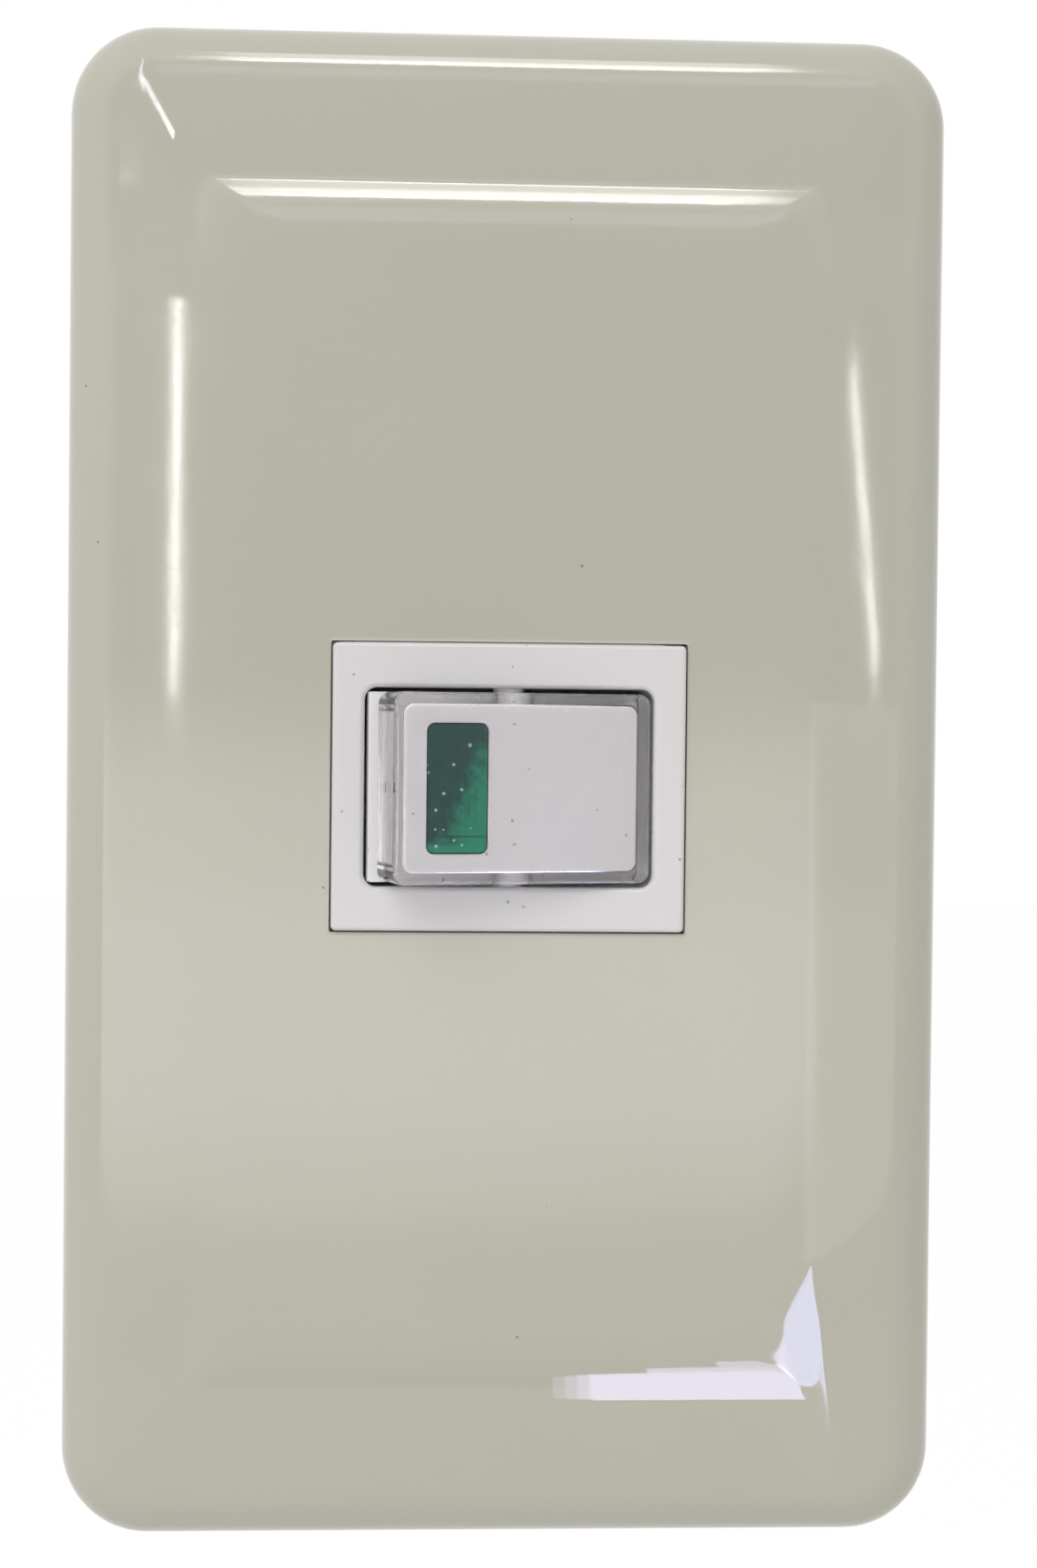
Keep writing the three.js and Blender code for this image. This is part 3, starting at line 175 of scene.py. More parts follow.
class RockerSizes(bpy.types.PropertyGroup):
    """Sizes of the rocker, its clear cap and its window"""

    cap_end: length("Cap end gap", "Opening to the cap's end", 0.89)
    cap_side: length("Cap side gap", "Opening to the cap's side", 0.36)
    cap_top: length("Cap top", "Cap's face above the pivot", 4.3)
    cap_foot: length("Cap foot", "Cap's rim below the pivot", 0.55)
    cap_wall: length("Cap wall", "Thickness of the clear cap", 0.85)
    cap_corner: length("Cap corner", "Radius of the cap's upright corners", 0.9)
    cap_crown: length("Cap crown", "Rounding of the cap's upper edge", 0.35)
    gate: length("Gate mark", "Radius of the moulding mark on the cap's end", 0.4)
    gate_height: length("Gate height", "Gate mark above the pivot", 1.35)
    skirt_gap: length("Skirt gap", "Skirt to the opening", 0.15)
    skirt_drop: length("Skirt drop", "Skirt's lower edge below the pivot", 3.4)
    skirt_wall: length("Skirt wall", "Thickness of the skirt", 1.15)
    body_gap: length("Body gap", "Cap to the white body inside", 0.05)
    body_corner: length("Body corner", "Radius of the body's corners", 0.8)
    body_wall: length("Body wall", "Thickness of the body's walls", 0.95)
    top_wall: length("Top wall", "Thickness of the body's top", 1.2)
    stem: length("Stem", "Radius of the spring's stem", 2.2)
    stem_drop: length("Stem drop", "Stem's end below the pivot", 6.4)
    trunnion: length("Trunnion", "Radius of the trunnions", 1.2)
    boss: length("Trunnion boss", "Radius of the trunnions' bosses", 1.45)
    trunnion_reach: length("Trunnion reach", "Trunnion past the cap's side", 1.95)
    lens_side: length("Window side", "Body's end to the window", 1.95)
    lens_end: length("Window end", "Body's side to the window", 1.56)
    lens_corner: length("Window corner", "Radius of the window's corners", 0.55)
    lens_gap: length("Window gap", "Gap round the window", 0.1)
    flange: length("Lens flange", "Flange of the lens behind the body", 0.4)
    flange_thickness: length("Flange thickness", "Thickness of the lens flange", 0.55)


class Finishes(bpy.types.PropertyGroup):
    """Colours of the switch's materials"""

    ivory: colour("Ivory", "Face plate", 0.505, 0.495, 0.425)
    white: colour("White", "Bezel and rocker", 0.70, 0.69, 0.705)
    grey: colour("Grey", "Inner frame", 0.42, 0.42, 0.40)
    housing: colour("Housing", "Rear housing", 0.74, 0.72, 0.67)
    green_dark: colour("Deep green", "Shaded part of the window", 0.002, 0.054, 0.048)
    green_bright: colour("Bright green", "Lit part of the window", 0.000, 0.275, 0.150)
    zinc: colour("Zinc", "Strap and screws", 0.56, 0.58, 0.57)
    brass: colour("Brass", "Terminals and plunger", 0.72, 0.50, 0.20)
    copper: colour("Copper alloy", "Contact strips", 0.66, 0.38, 0.20)
    silver: colour("Silver", "Contacts", 0.80, 0.79, 0.76)
    resistor: colour("Resistor", "Resistor's lacquer", 0.50, 0.36, 0.20)
    scratches: share("Scratches", "Strength of hairline scratches", 0.5)


# Shapes


def front(x, up, out):
    """A point given as right, up and out of the wall."""
    return Vector((x, -out, up))


def ring(width, height, corner, out, **place):
    """A rounded rectangle that faces the front, as the words that outline takes."""
    return {"width": width, "height": height, "corner": corner, "out": out, **place}


def spread_ring(width, height, corner, spread, out, **place):
    """A rounded rectangle moved out all round."""
    return ring(width + 2 * spread, height + 2 * spread, corner + spread, out, **place)


def outline(bm, width, height, corner, out, x=0.0, up=0.0, steps=10):
    """The edge loop of a rounded rectangle that faces the front."""
    known = set(bm.edges)
    signs = ((-1, -1), (1, -1), (1, 1), (-1, 1))
    corners = [
        bm.verts.new(front(x + a * width / 2, up + b * height / 2, out)) for a, b in signs
    ]
    bm.faces.new(corners)
    # just short of half a side, so that two corners' ends stay apart
    short_of_half = 0.9999
    bmesh.ops.bevel(
        bm,
        geom=corners,
        offset=min(corner, width / 2, height / 2) * short_of_half,
        segments=steps,
        profile=0.5,
        affect="VERTICES",
        material=-1,
    )
    edges = [edge for edge in bm.edges if edge not in known]
    faces = list({face for edge in edges for face in edge.link_faces})
    bmesh.ops.delete(bm, geom=faces, context="FACES_ONLY")
    return edges


def strip(near, far, steps):
    """The skin between two rounded rectangles, made about the first one's plane."""
    bm = bmesh.new()
    edges = []
    for shape in (near, far):
        edges += outline(bm, **{**shape, "out": shape["out"] - near["out"]}, steps=steps)
    bmesh.ops.bridge_loops(bm, edges=edges)
    bmesh.ops.translate(bm, verts=bm.verts, vec=front(0, 0, near["out"]))
    return bm


def face_outwards(bm):
    """Turn every face of a closed shape outwards."""
    bmesh.ops.recalc_face_normals(bm, faces=bm.faces)
    return bm


def close_up(bm):
    """Merge what meets, fill the open ends and turn every face outwards."""
    bmesh.ops.remove_doubles(bm, verts=bm.verts, dist=1e-7)
    bmesh.ops.holes_fill(bm, edges=bm.edges, sides=0)
    return face_outwards(bm)


def cut(bm, point, normal):
    """Cut every face that a plane crosses."""
    geometry = bm.verts[:] + bm.edges[:] + bm.faces[:]
    bmesh.ops.bisect_plane(bm, geom=geometry, plane_co=point, plane_no=normal)


def loft(rings, closed=False, steps=10):
    """A skin over rounded rectangles, closed on itself as a hoop or capped at both ends."""
    bm = bmesh.new()
    following = rings[1:] + rings[:1] if closed else rings[1:]
    for near, far in zip(rings, following):
        absorb(bm, strip(near, far, steps))
    return close_up(bm)


def front_bar(low, high, edge=0.0):
    """A box between two corners given as right, up and out, with its edges rounded."""
    low, high = Vector(low), Vector(high)
    size = high - low
    place = Matrix.Translation(front(*(low + high) / 2))
    stretch = Matrix.Diagonal((size.x, size.z, size.y, 1))
    bm = bmesh.new()
    bmesh.ops.create_cube(bm, size=1, matrix=place @ stretch)
    if edge:
        round_edges(bm, bm.edges, edge)
    return face_outwards(bm)


def round_edges(bm, edges, offset, segments=2):
    """Round the given edges."""
    bmesh.ops.bevel(
        bm,
        geom=list(edges),
        offset=offset,
        segments=segments,
        profile=0.5,
        affect="EDGES",
        clamp_overlap=True,
        material=-1,
    )


def spun(profile, steps=48, turns=1, climb=0.0, closed=False):
    """A profile of radius and height pairs carried round z, climbing at each step."""
    bm = bmesh.new()
    verts = [bm.verts.new((radius, 0, height)) for radius, height in profile]
    following = verts[1:] + verts[:1] if closed else verts[1:]
    edges = [bm.edges.new(pair) for pair in zip(verts, following)]
    bmesh.ops.spin(
        bm,
        geom=verts + edges,
        cent=(0, 0, 0),
        axis=(0, 0, 1),
        dvec=(0, 0, climb),
        angle=TURN * turns,
        steps=steps * turns,
        use_merge=not climb,
    )
    return close_up(bm)


def quarter(count):
    """Angles through a quarter turn."""
    return [step / count * TURN / 4 for step in range(count + 1)]


def absorb(bm, shape, place=Matrix.Identity(4)):
    """Add one finished shape to a piece, moved to its place."""
    bmesh.ops.transform(shape, matrix=place, verts=shape.verts)
    if place.is_negative:
        bmesh.ops.reverse_faces(shape, faces=shape.faces)
    carrier = bpy.data.meshes.new("shape")
    shape.to_mesh(carrier)
    shape.free()
    bm.from_mesh(carrier)
    bpy.data.meshes.remove(carrier)


def add_object(name, data):
    """An object in the scene that holds the given data."""
    obj = bpy.data.objects.new(name, data)
    bpy.context.scene.collection.objects.link(obj)
    return obj


def mesh_object(name, bm, material):
    """An object in the scene made from a finished shape, in one material."""
    mesh = bpy.data.meshes.new(name)
    bm.to_mesh(mesh)
    bm.free()
    mesh.materials.append(material)
    return add_object(name, mesh)


def finish_piece(name, bm, finish, body, slot, nodes=(), sharp=35.0, bevel=0.0):
    """Turn a shape into a named piece that rides on its body and stands for its CAD nodes."""
    limit = math.radians(sharp)
    for edge in bm.edges:
        edge.smooth = edge.is_manifold and edge.calc_face_angle(0.0) < limit
    for face in bm.faces:
        face.smooth = True
    piece = mesh_object(name, bm, bpy.data.materials[finish])
    if bevel:
        modifier = piece.modifiers.new("Broken edges", "BEVEL")
        modifier.width = bevel
        modifier.segments = 2
        modifier.limit_method = "ANGLE"
        modifier.angle_limit = limit
        modifier.harden_normals = True
        modifier.use_clamp_overlap = True
    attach(piece, body)
    if nodes:
        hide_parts(*nodes)


def slot_of(node):
    """The material slot that the record gives a CAD node."""
    subparts = frame["record"]["subparts"]
    return next(part["material_slot"] for part in subparts if part["node"] == node)


def stand_for(node, name, bm, finish=None, **edges):
    """Finish a piece in place of a CAD node, on the node's body, in the material named after its
    slot unless a finish is given.
    """
    body, slot = frame["nodes"][node]["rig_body"], slot_of(node)
    finish_piece(name, bm, finish or slot, body, slot, (node,), **edges)


def stand_on_rocker(node, name, bm, finish=None, place=Matrix.Identity(4)):
    """Finish a piece that was made for a level rocker at the rocker's rest tilt."""
    bmesh.ops.transform(bm, matrix=rocker_place @ place, verts=bm.verts)
    stand_for(node, name, bm, finish)


def refine(node, name, bevel, sharp=32.0):
    """A carried-over shape with its flat faces joined and its edges broken."""
    bm = bmesh.new()
    bm.from_mesh(frame["nodes"][node].data)
    bmesh.ops.remove_doubles(bm, verts=bm.verts, dist=2e-6)
    flat = math.radians(0.6)
    bmesh.ops.dissolve_limit(bm, angle_limit=flat, verts=bm.verts, edges=bm.edges, delimit=set())
    stand_for(node, name, bm, sharp=sharp, bevel=bevel)


# Finishes


class Graph:
    """A node tree that is filled by naming nodes and what goes into them."""

    def __init__(self, tree):
        self.tree = tree

    def add(self, kind, inputs=None, **options):
        node = self.tree.nodes.new(kind)
        for option, value in options.items():
            setattr(node, option, value)
        self.feed(node, inputs or {})
        return node

    def feed(self, node, inputs):
        for socket, value in inputs.items():
            self.put(node.inputs[socket], value)

    def put(self, socket, value):
        if isinstance(value, bpy.types.NodeSocket):
            self.tree.links.new(value, socket)
        else:
            socket.default_value = value

    def math(self, operation, *values):
        inputs = dict(enumerate(values))
        return self.add("ShaderNodeMath", inputs, operation=operation).outputs[0]

    def times(self, first, second):
        return self.math("MULTIPLY", first, second)

    def minus(self, first, second):
        return self.math("SUBTRACT", first, second)

    def plus(self, first, second):
        return self.math("ADD", first, second)

    def vector(self, operation, first, second):
        node = self.add("ShaderNodeVectorMath", {0: first, 1: second}, operation=operation)
        return node.outputs[0]

    def place(self):
        """Coordinates that stay with the piece."""
        return self.add("ShaderNodeTexCoord").outputs["Object"]

    def axes(self, vector):
        return self.add("ShaderNodeSeparateXYZ", {"Vector": vector}).outputs

    def noise(self, vector, scale, detail=2.0, roughness=0.5):
        inputs = {"Vector": vector, "Scale": scale, "Detail": detail, "Roughness": roughness}
        return self.add("ShaderNodeTexNoise", inputs).outputs["Fac"]

    def ramp(self, value, low, high):
        """Nothing below one value, all above another."""
        inputs = {"Value": value, "From Min": low, "From Max": high}
        node = self.add("ShaderNodeMapRange", inputs, interpolation_type="SMOOTHSTEP")
        return node.outputs["Result"]

    def mix(self, factor, first, second):
        inputs = {"Factor": factor, 6: first, 7: second}
        return self.add("ShaderNodeMix", inputs, data_type="RGBA").outputs[2]


def new_group(name, inputs, outputs):
    """An empty shader group with named number inputs and outputs."""
    group = bpy.data.node_groups.new(name, "ShaderNodeTree")
    for socket, value in inputs.items():
        made = group.interface.new_socket(socket, in_out="INPUT", socket_type="NodeSocketFloat")
        made.default_value = value
    for socket in outputs:
        group.interface.new_socket(socket, in_out="OUTPUT", socket_type="NodeSocketFloat")
    graph = Graph(group)
    given = graph.add("NodeGroupInput").outputs
    return graph, given, graph.add("NodeGroupOutput"), graph.place()


def moulded_surface():
    """Moulding ripple, tone and hairline scratches of a glossy plastic."""
    graph, given, result, place = new_group(
        "Moulded surface",
        {"Ripple": 1.0, "Scratches": 0.5, "Tone": 1.0},
        ("Height", "Tone", "Scratch"),
    )
    ripple = graph.noise(place, 420.0, roughness=0.45)
    orange = graph.noise(place, 2600.0, detail=1.0, roughness=0.4)
    height = graph.times(graph.plus(graph.times(orange, 0.3), ripple), given["Ripple"])
    lines = None
    for turn, stretch in ((0.5, 9.0), (-0.9, 13.0), (1.9, 11.0)):
        along = graph.add(
            "ShaderNodeMapping",
            {"Vector": place, "Rotation": (0.0, turn, 0.0), "Scale": (1.0, 1.0, stretch)},
        ).outputs["Vector"]
        mask = graph.ramp(graph.noise(along, 900.0, detail=3.0, roughness=0.6), 0.66, 0.74)
        lines = mask if lines is None else graph.math("MAXIMUM", lines, mask)
    patches = graph.ramp(graph.noise(place, 60.0), 0.42, 0.66)
    lines = graph.times(graph.times(lines, patches), given["Scratches"])
    tone = graph.minus(graph.noise(place, 35.0, detail=3.0, roughness=0.55), 0.5)
    graph.feed(
        result,
        {
            "Height": graph.minus(height, graph.times(lines, 0.5)),
            "Tone": graph.times(tone, given["Tone"]),
            "Scratch": lines,
        },
    )


def dust_and_glint_specks():
    """Sparse specks, dust on the plastics and painted glints in the green window, and a pale bloom.
    """
    graph, given, result, place = new_group(
        "Dust and glint specks", {"Scale": 700.0, "Size": 0.05, "Amount": 0.2}, ("Speck", "Bloom")
    )
    wobble = graph.noise(place, 2400.0, detail=1.0)
    cells = graph.add(
        "ShaderNodeTexVoronoi", {"Vector": place, "Scale": given["Scale"], "Randomness": 1.0}
    ).outputs
    chosen = graph.add("ShaderNodeSeparateColor", {"Color": cells["Color"]}).outputs[0]
    kept = graph.math("LESS_THAN", chosen, given["Amount"])
    reach = graph.times(given["Size"], graph.plus(wobble, 0.5))
    near = graph.math("LESS_THAN", cells["Distance"], reach)
    bloom = graph.ramp(graph.noise(place, 180.0, detail=4.0, roughness=0.65), 0.5, 0.8)
    graph.feed(result, {"Speck": graph.times(near, kept), "Bloom": bloom})


def metal_grain():
    """Rolled or drawn lines, tone and stains of a metal."""
    graph, given, result, place = new_group(
        "Metal grain",
        {"Across": 1500.0, "Along": 60.0, "Stain": 0.3},
        ("Height", "Tone", "Stain"),
    )
    scales = {0: given["Across"], 1: given["Across"], 2: given["Along"]}
    stretch = graph.add("ShaderNodeCombineXYZ", scales).outputs[0]
    drawn = graph.vector("MULTIPLY", place, stretch)
    lines = graph.noise(drawn, 1.0, detail=3.0, roughness=0.6)
    tone = graph.minus(graph.noise(place, 160.0, detail=3.0, roughness=0.6), 0.5)
    stain = graph.ramp(graph.noise(place, 320.0, detail=4.0, roughness=0.7), 0.52, 0.72)
    stain = graph.times(stain, given["Stain"])
    graph.feed(result, {"Height": lines, "Tone": tone, "Stain": stain})


def new_material(name):
    """A material's graph and its one surface shader, in place of the CAD's plain one."""
    plain = bpy.data.materials.get(name)
    if plain:
        bpy.data.materials.remove(plain)
    material = bpy.data.materials.new(name)
    material.use_nodes = True
    nodes = material.node_tree.nodes
    return Graph(material.node_tree), next(n for n in nodes if n.type == "BSDF_PRINCIPLED")


def group_node(graph, name, **values):
    """A shared group placed in a material with its own values."""
    node = graph.add("ShaderNodeGroup", node_tree=bpy.data.node_groups[name])
    graph.feed(node, {socket.capitalize(): value for socket, value in values.items()})
    return node.outputs


def shade(rgb, factor):
    """A colour made darker or lighter."""
    return (*[min(1.0, value * factor) for value in rgb], 1.0)


def bump(graph, shader, height, depth):
    """Feed a height to the shader's normal, its depth in metres."""
    node = graph.add("ShaderNodeBump", {"Height": height, "Distance": depth, "Strength": 1.0})
    graph.put(shader.inputs["Normal"], node.outputs["Normal"])


def plastic(name, rgb, roughness, ripple=1.0, depth=2e-6, specks=0.2, scratches=0.5, tone=0.05):
    """A moulded plastic with ripple, hairline scratches, dust and an uneven tone."""
    graph, shader = new_material(name)
    surface = group_node(graph, "Moulded surface", ripple=ripple, scratches=scratches, tone=1.0)
    dust_and_glints = group_node(graph, "Dust and glint specks", scale=900.0, size=0.11, amount=specks)
    dark, light, speck = shade(rgb, 1 - tone), shade(rgb, 1 + tone), shade(rgb, 0.55)
    uneven = graph.math("MULTIPLY_ADD", surface["Tone"], 2.0, 0.5)
    base = graph.mix(dust_and_glints["Speck"], graph.mix(uneven, dark, light), speck)
    scratched, dusty = 0.25, 0.05
    rough = graph.math("MULTIPLY_ADD", surface["Scratch"], scratched, roughness)
    rough = graph.plus(rough, graph.times(dust_and_glints["Bloom"], dusty))
    graph.feed(shader, {"Base Color": base, "Roughness": rough, "IOR": 1.5})
    bump(graph, shader, surface["Height"], depth)


def metal(name, rgb, roughness, across=1500.0, along=60.0, stain=0.3):
    """A metal with drawn lines, an uneven tone and dull stains."""
    graph, shader = new_material(name)
    grain = group_node(graph, "Metal grain", across=across, along=along, stain=stain)
    dark, light, dull = shade(rgb, 0.86), shade(rgb, 1.1), shade(rgb, 0.6)
    base = graph.mix(graph.plus(grain["Tone"], 0.5), dark, light)
    base = graph.mix(grain["Stain"], base, dull)
    stained = 0.35
    rough = graph.math("MULTIPLY_ADD", grain["Stain"], stained, roughness)
    graph.feed(shader, {"Base Color": base, "Roughness": rough, "Metallic": 1.0})
    bump(graph, shader, grain["Height"], 3e-6)


def clear_plastic():
    """The rocker's clear cap: polished, with faint flow lines."""
    graph, shader = new_material("clear_plastic")
    surface = group_node(graph, "Moulded surface", ripple=1.0, scratches=0.3, tone=0.0)
    scratched, polished = 0.2, 0.015
    rough = graph.math("MULTIPLY_ADD", surface["Scratch"], scratched, polished)
    clear = {"Base Color": (0.965, 0.952, 0.95, 1), "IOR": 1.49, "Transmission Weight": 1.0}
    graph.feed(shader, {**clear, "Roughness": rough})
    across, along = 4500.0, 140.0
    drawn = graph.vector("MULTIPLY", graph.place(), (across, across, along))
    lines = graph.times(graph.noise(drawn, 1.0, roughness=0.6), 2.0)
    bump(graph, shader, graph.plus(surface["Height"], lines), 4e-6)


def green_plastic(dark, bright):
    """The pilot window: deep green with painted light along its right and lower edges, painted
    glints and flow marks.
    """
    graph, shader = new_material("green_lens")
    place = graph.place()
    low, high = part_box("indicator_lens")
    near = graph.vector("SUBTRACT", place, low)
    parts = graph.axes(graph.vector("MULTIPLY", near, [1 / side for side in high - low]))
    cloud = graph.noise(place, 900.0, detail=6.0, roughness=0.75)
    grain = graph.noise(place, 3800.0, roughness=0.6)
    # the light inside grows towards the right and the foot, in clouds
    lit = graph.minus(graph.times(parts["X"], 0.95), graph.times(parts["Z"], 0.8))
    lit = graph.plus(lit, graph.times(cloud, 1.1))
    lit = graph.times(graph.ramp(lit, 0.62, 1.12), 0.9)
    lit = graph.math("MAXIMUM", lit, graph.ramp(parts["Z"], 0.13, 0.07))
    # a thin dark line parts the bright foot from the rest
    line_height, half_line = 0.155, 0.008
    shelf = graph.math("ABSOLUTE", graph.minus(parts["Z"], line_height))
    shelf = graph.math("LESS_THAN", shelf, half_line)
    tone = graph.times(graph.ramp(cloud, 0.35, 0.7), 0.35)
    base = graph.mix(tone, (*dark, 1), shade(dark, 2.2))
    base = graph.mix(lit, base, (*bright, 1))
    base = graph.mix(graph.times(shelf, 0.6), base, (*dark, 1))
    # pale specks painted in as glints of light inside the window
    dust_and_glints = group_node(graph, "Dust and glint specks", scale=1500.0, size=0.2, amount=0.22)
    painted_glint_colour = (0.30, 0.55, 0.48, 1)
    base = graph.mix(dust_and_glints["Speck"], base, painted_glint_colour)
    graph.feed(shader, {"Base Color": base, "Roughness": graph.times(grain, 0.3), "IOR": 1.2})
    bump(graph, shader, graph.plus(cloud, graph.times(grain, 0.1)), 3e-5)


def banded_lacquer(rgb):
    """The resistor's lacquer with its coloured bands."""
    graph, shader = new_material("resistor_body")
    place = graph.place()
    along = graph.axes(place)["X"]
    base = (*rgb, 1)
    half_band = 0.32 * MM
    bands = (
        (-2.1, (0.10, 0.035, 0.02, 1)),
        (-1.0, (0.01, 0.01, 0.01, 1)),
        (0.0, (0.55, 0.35, 0.02, 1)),
        (1.9, (0.45, 0.30, 0.08, 1)),
    )
    for middle, paint in bands:
        offset = graph.math("ABSOLUTE", graph.minus(along, middle * MM))
        base = graph.mix(graph.math("LESS_THAN", offset, half_band), base, paint)
    cloud = graph.noise(place, 900.0)
    rough = graph.math("MULTIPLY_ADD", cloud, 0.2, 0.5)
    graph.feed(shader, {"Base Color": base, "Roughness": rough})
    bump(graph, shader, cloud, 8e-6)


def lamp_glass():
    """Thin clear glass of the neon tube."""
    graph, shader = new_material("lamp_glass")
    seeds = graph.noise(graph.place(), 700.0)
    clear = {"Base Color": (0.95, 0.93, 0.90, 1), "IOR": 1.5, "Transmission Weight": 1.0}
    graph.feed(shader, {**clear, "Roughness": graph.times(seeds, 0.08)})
    bump(graph, shader, seeds, 1e-5)


def make_finishes():
    """All materials: the bezel's white painted lighter for the rocker, and one named after each
    slot of the record.
    """
    finish = bpy.context.scene.switch_finish
    moulded_surface()
    dust_and_glint_specks()
    metal_grain()
    even = {"depth": 4e-6, "tone": 0.012}
    dusty = {**even, "roughness": 0.28, "specks": 0.3, "scratches": 0.3}
    plastic("ivory_plastic", finish.ivory, 0.075, specks=0.006, scratches=finish.scratches, **even)
    plastic("white_plastic", finish.white, **dusty)
    # the rocker takes the bezel's white painted 12% lighter: painted light under the clear cap, not
    # a plastic of its own
    plastic("rocker_white_painted_lighter", shade(finish.white, 1.12)[:3], **dusty)
    plastic("grey_plastic", finish.grey, 0.42, depth=8e-6, specks=0.06)
    plastic("base_plastic", finish.housing, 0.38, depth=8e-6, specks=0.05)
    clear_plastic()
    green_plastic(finish.green_dark, finish.green_bright)
    metal("zinc_steel", finish.zinc, 0.30, across=2200, along=90)
    metal("zinc_screw", finish.zinc, 0.24, across=2600, along=2600, stain=0.2)
    metal("brass", finish.brass, 0.26, across=1800, along=1800)
    metal("copper_alloy", finish.copper, 0.28)
    metal("silver", finish.silver, 0.22, stain=0.4)
    metal("spring_steel", shade(finish.zinc, 0.8)[:3], 0.25)
    lamp_glass()
    banded_lacquer(finish.resistor)
    metal("tinned_wire", finish.silver, 0.3, across=900, along=900)


# Curves in the plate's section


def curve(start, handle, end, count):
    """Points along a curve from start to end that leaves and arrives towards its handle."""
    points = []
    for step in range(count + 1):
        t = step / count
        near, middle, far = (1 - t) ** 2, 2 * t * (1 - t), t * t
        points.append(
            tuple(near * a + middle * b + far * c for a, b, c in zip(start, handle, end))
        )
    return points


def plate_section(sizes, depth):
    """The front of the plate from its outline to the flat field: pairs of inset and height."""
    edge_steps, margin_steps, fillet_steps, blend_steps = 28, 24, 6, 28
    shoulder = (sizes.edge_width, sizes.shoulder)
    slope = (sizes.crease - sizes.shoulder) / (sizes.margin_x - sizes.edge_width)
    handle = (0.0, sizes.shoulder - slope * sizes.edge_width)
    edge = curve((0.0, sizes.side_height), handle, shoulder, edge_steps)
    middle = (sizes.edge_width + sizes.margin_x) / 2
    crown = (sizes.shoulder + sizes.crease) / 2 + 2 * sizes.bulge
    crease = (sizes.margin_x, sizes.crease)
    margin = curve(shoulder, (middle, crown), crease, margin_steps)
    rise = (depth - sizes.crease) / (sizes.blend / 2)
    leave = (sizes.margin_x + sizes.fillet, sizes.crease + rise * sizes.fillet)
    before = [point for point in margin if point[0] < sizes.margin_x - sizes.fillet]
    fillet = curve(before[-1], crease, leave, fillet_steps)
    handle = (sizes.margin_x + sizes.blend / 2, depth)
    blend = curve(leave, handle, (sizes.margin_x + sizes.blend, depth), blend_steps)
    return edge + before[1:] + fillet[1:] + blend[1:]


def side_section(sizes, depth):
    """The section half-way up the sides, one curve without a crease."""
    shoulder = (sizes.edge_width, sizes.shoulder + sizes.shoulder_lift)
    half = (sizes.margin_x + sizes.blend - sizes.edge_width) / 2
    steps = 60
    slope = (depth - shoulder[1]) / half
    handle = (0.0, shoulder[1] - slope * sizes.edge_width)
    edge = curve((0.0, sizes.side_height), handle, shoulder, steps)
    middle, end = (sizes.edge_width + half, depth), (sizes.edge_width + 2 * half, depth)
    return edge + curve(shoulder, middle, end, steps)[1:]


def height_at(section, inset):
    """The height of a section at an inset."""
    for near, far in zip(section, section[1:]):
        if near[0] <= inset < far[0]:
            return near[1] + (far[1] - near[1]) * (inset - near[0]) / (far[0] - near[0])
    return section[-1][1]


def fade_side_creases(bm, sizes, depth):
    """Let the crease run out along the sides, where the plate's front becomes one curve."""
    corners = plate_section(sizes, depth)
    sides = side_section(sizes, depth)
    levels = 17
    reach = sizes.fade_start - sizes.fade_end
    for step in range(levels):
        for side in (-1, 1):
            up = side * (sizes.fade_start - reach * step / (levels - 1))
            cut(bm, (0, 0, up), (0, 0, 1))
    for vert in bm.verts:
        inset = max(0.0, plate_high.x - abs(vert.co.x))
        base = height_at(corners, inset)
        if -vert.co.y < min(base, sizes.crease) - sizes.wall / 2:
            continue
        part = min(max((sizes.fade_start - abs(vert.co.z)) / reach, 0.0), 1.0)
        eased = part * part * (3 - 2 * part)
        vert.co.y -= eased * (height_at(sides, inset) - base)


def plate_ring(sizes, inset, out, wall=0.0):
    """The plate's outline moved in, with the taller margin at the top and bottom."""
    margin = sizes.margin_x - sizes.edge_width
    past = min(max(0.0, inset - sizes.edge_width), margin)
    stretch = (sizes.margin_y - sizes.edge_width) / margin
    inset_y = inset + past * (stretch - 1)
    outer = max(sizes.corner - inset - wall, sizes.shoulder_corner)
    outer += (sizes.crease_corner - outer) * past / margin
    inner = min(max(0.0, (inset - sizes.margin_x) / sizes.blend), 1.0)
    return ring(
        plate_high.x - plate_low.x - 2 * (inset + wall),
        plate_high.z - plate_low.z - 2 * (inset_y + wall),
        outer + (sizes.field_corner - outer) * inner,
        out,
    )


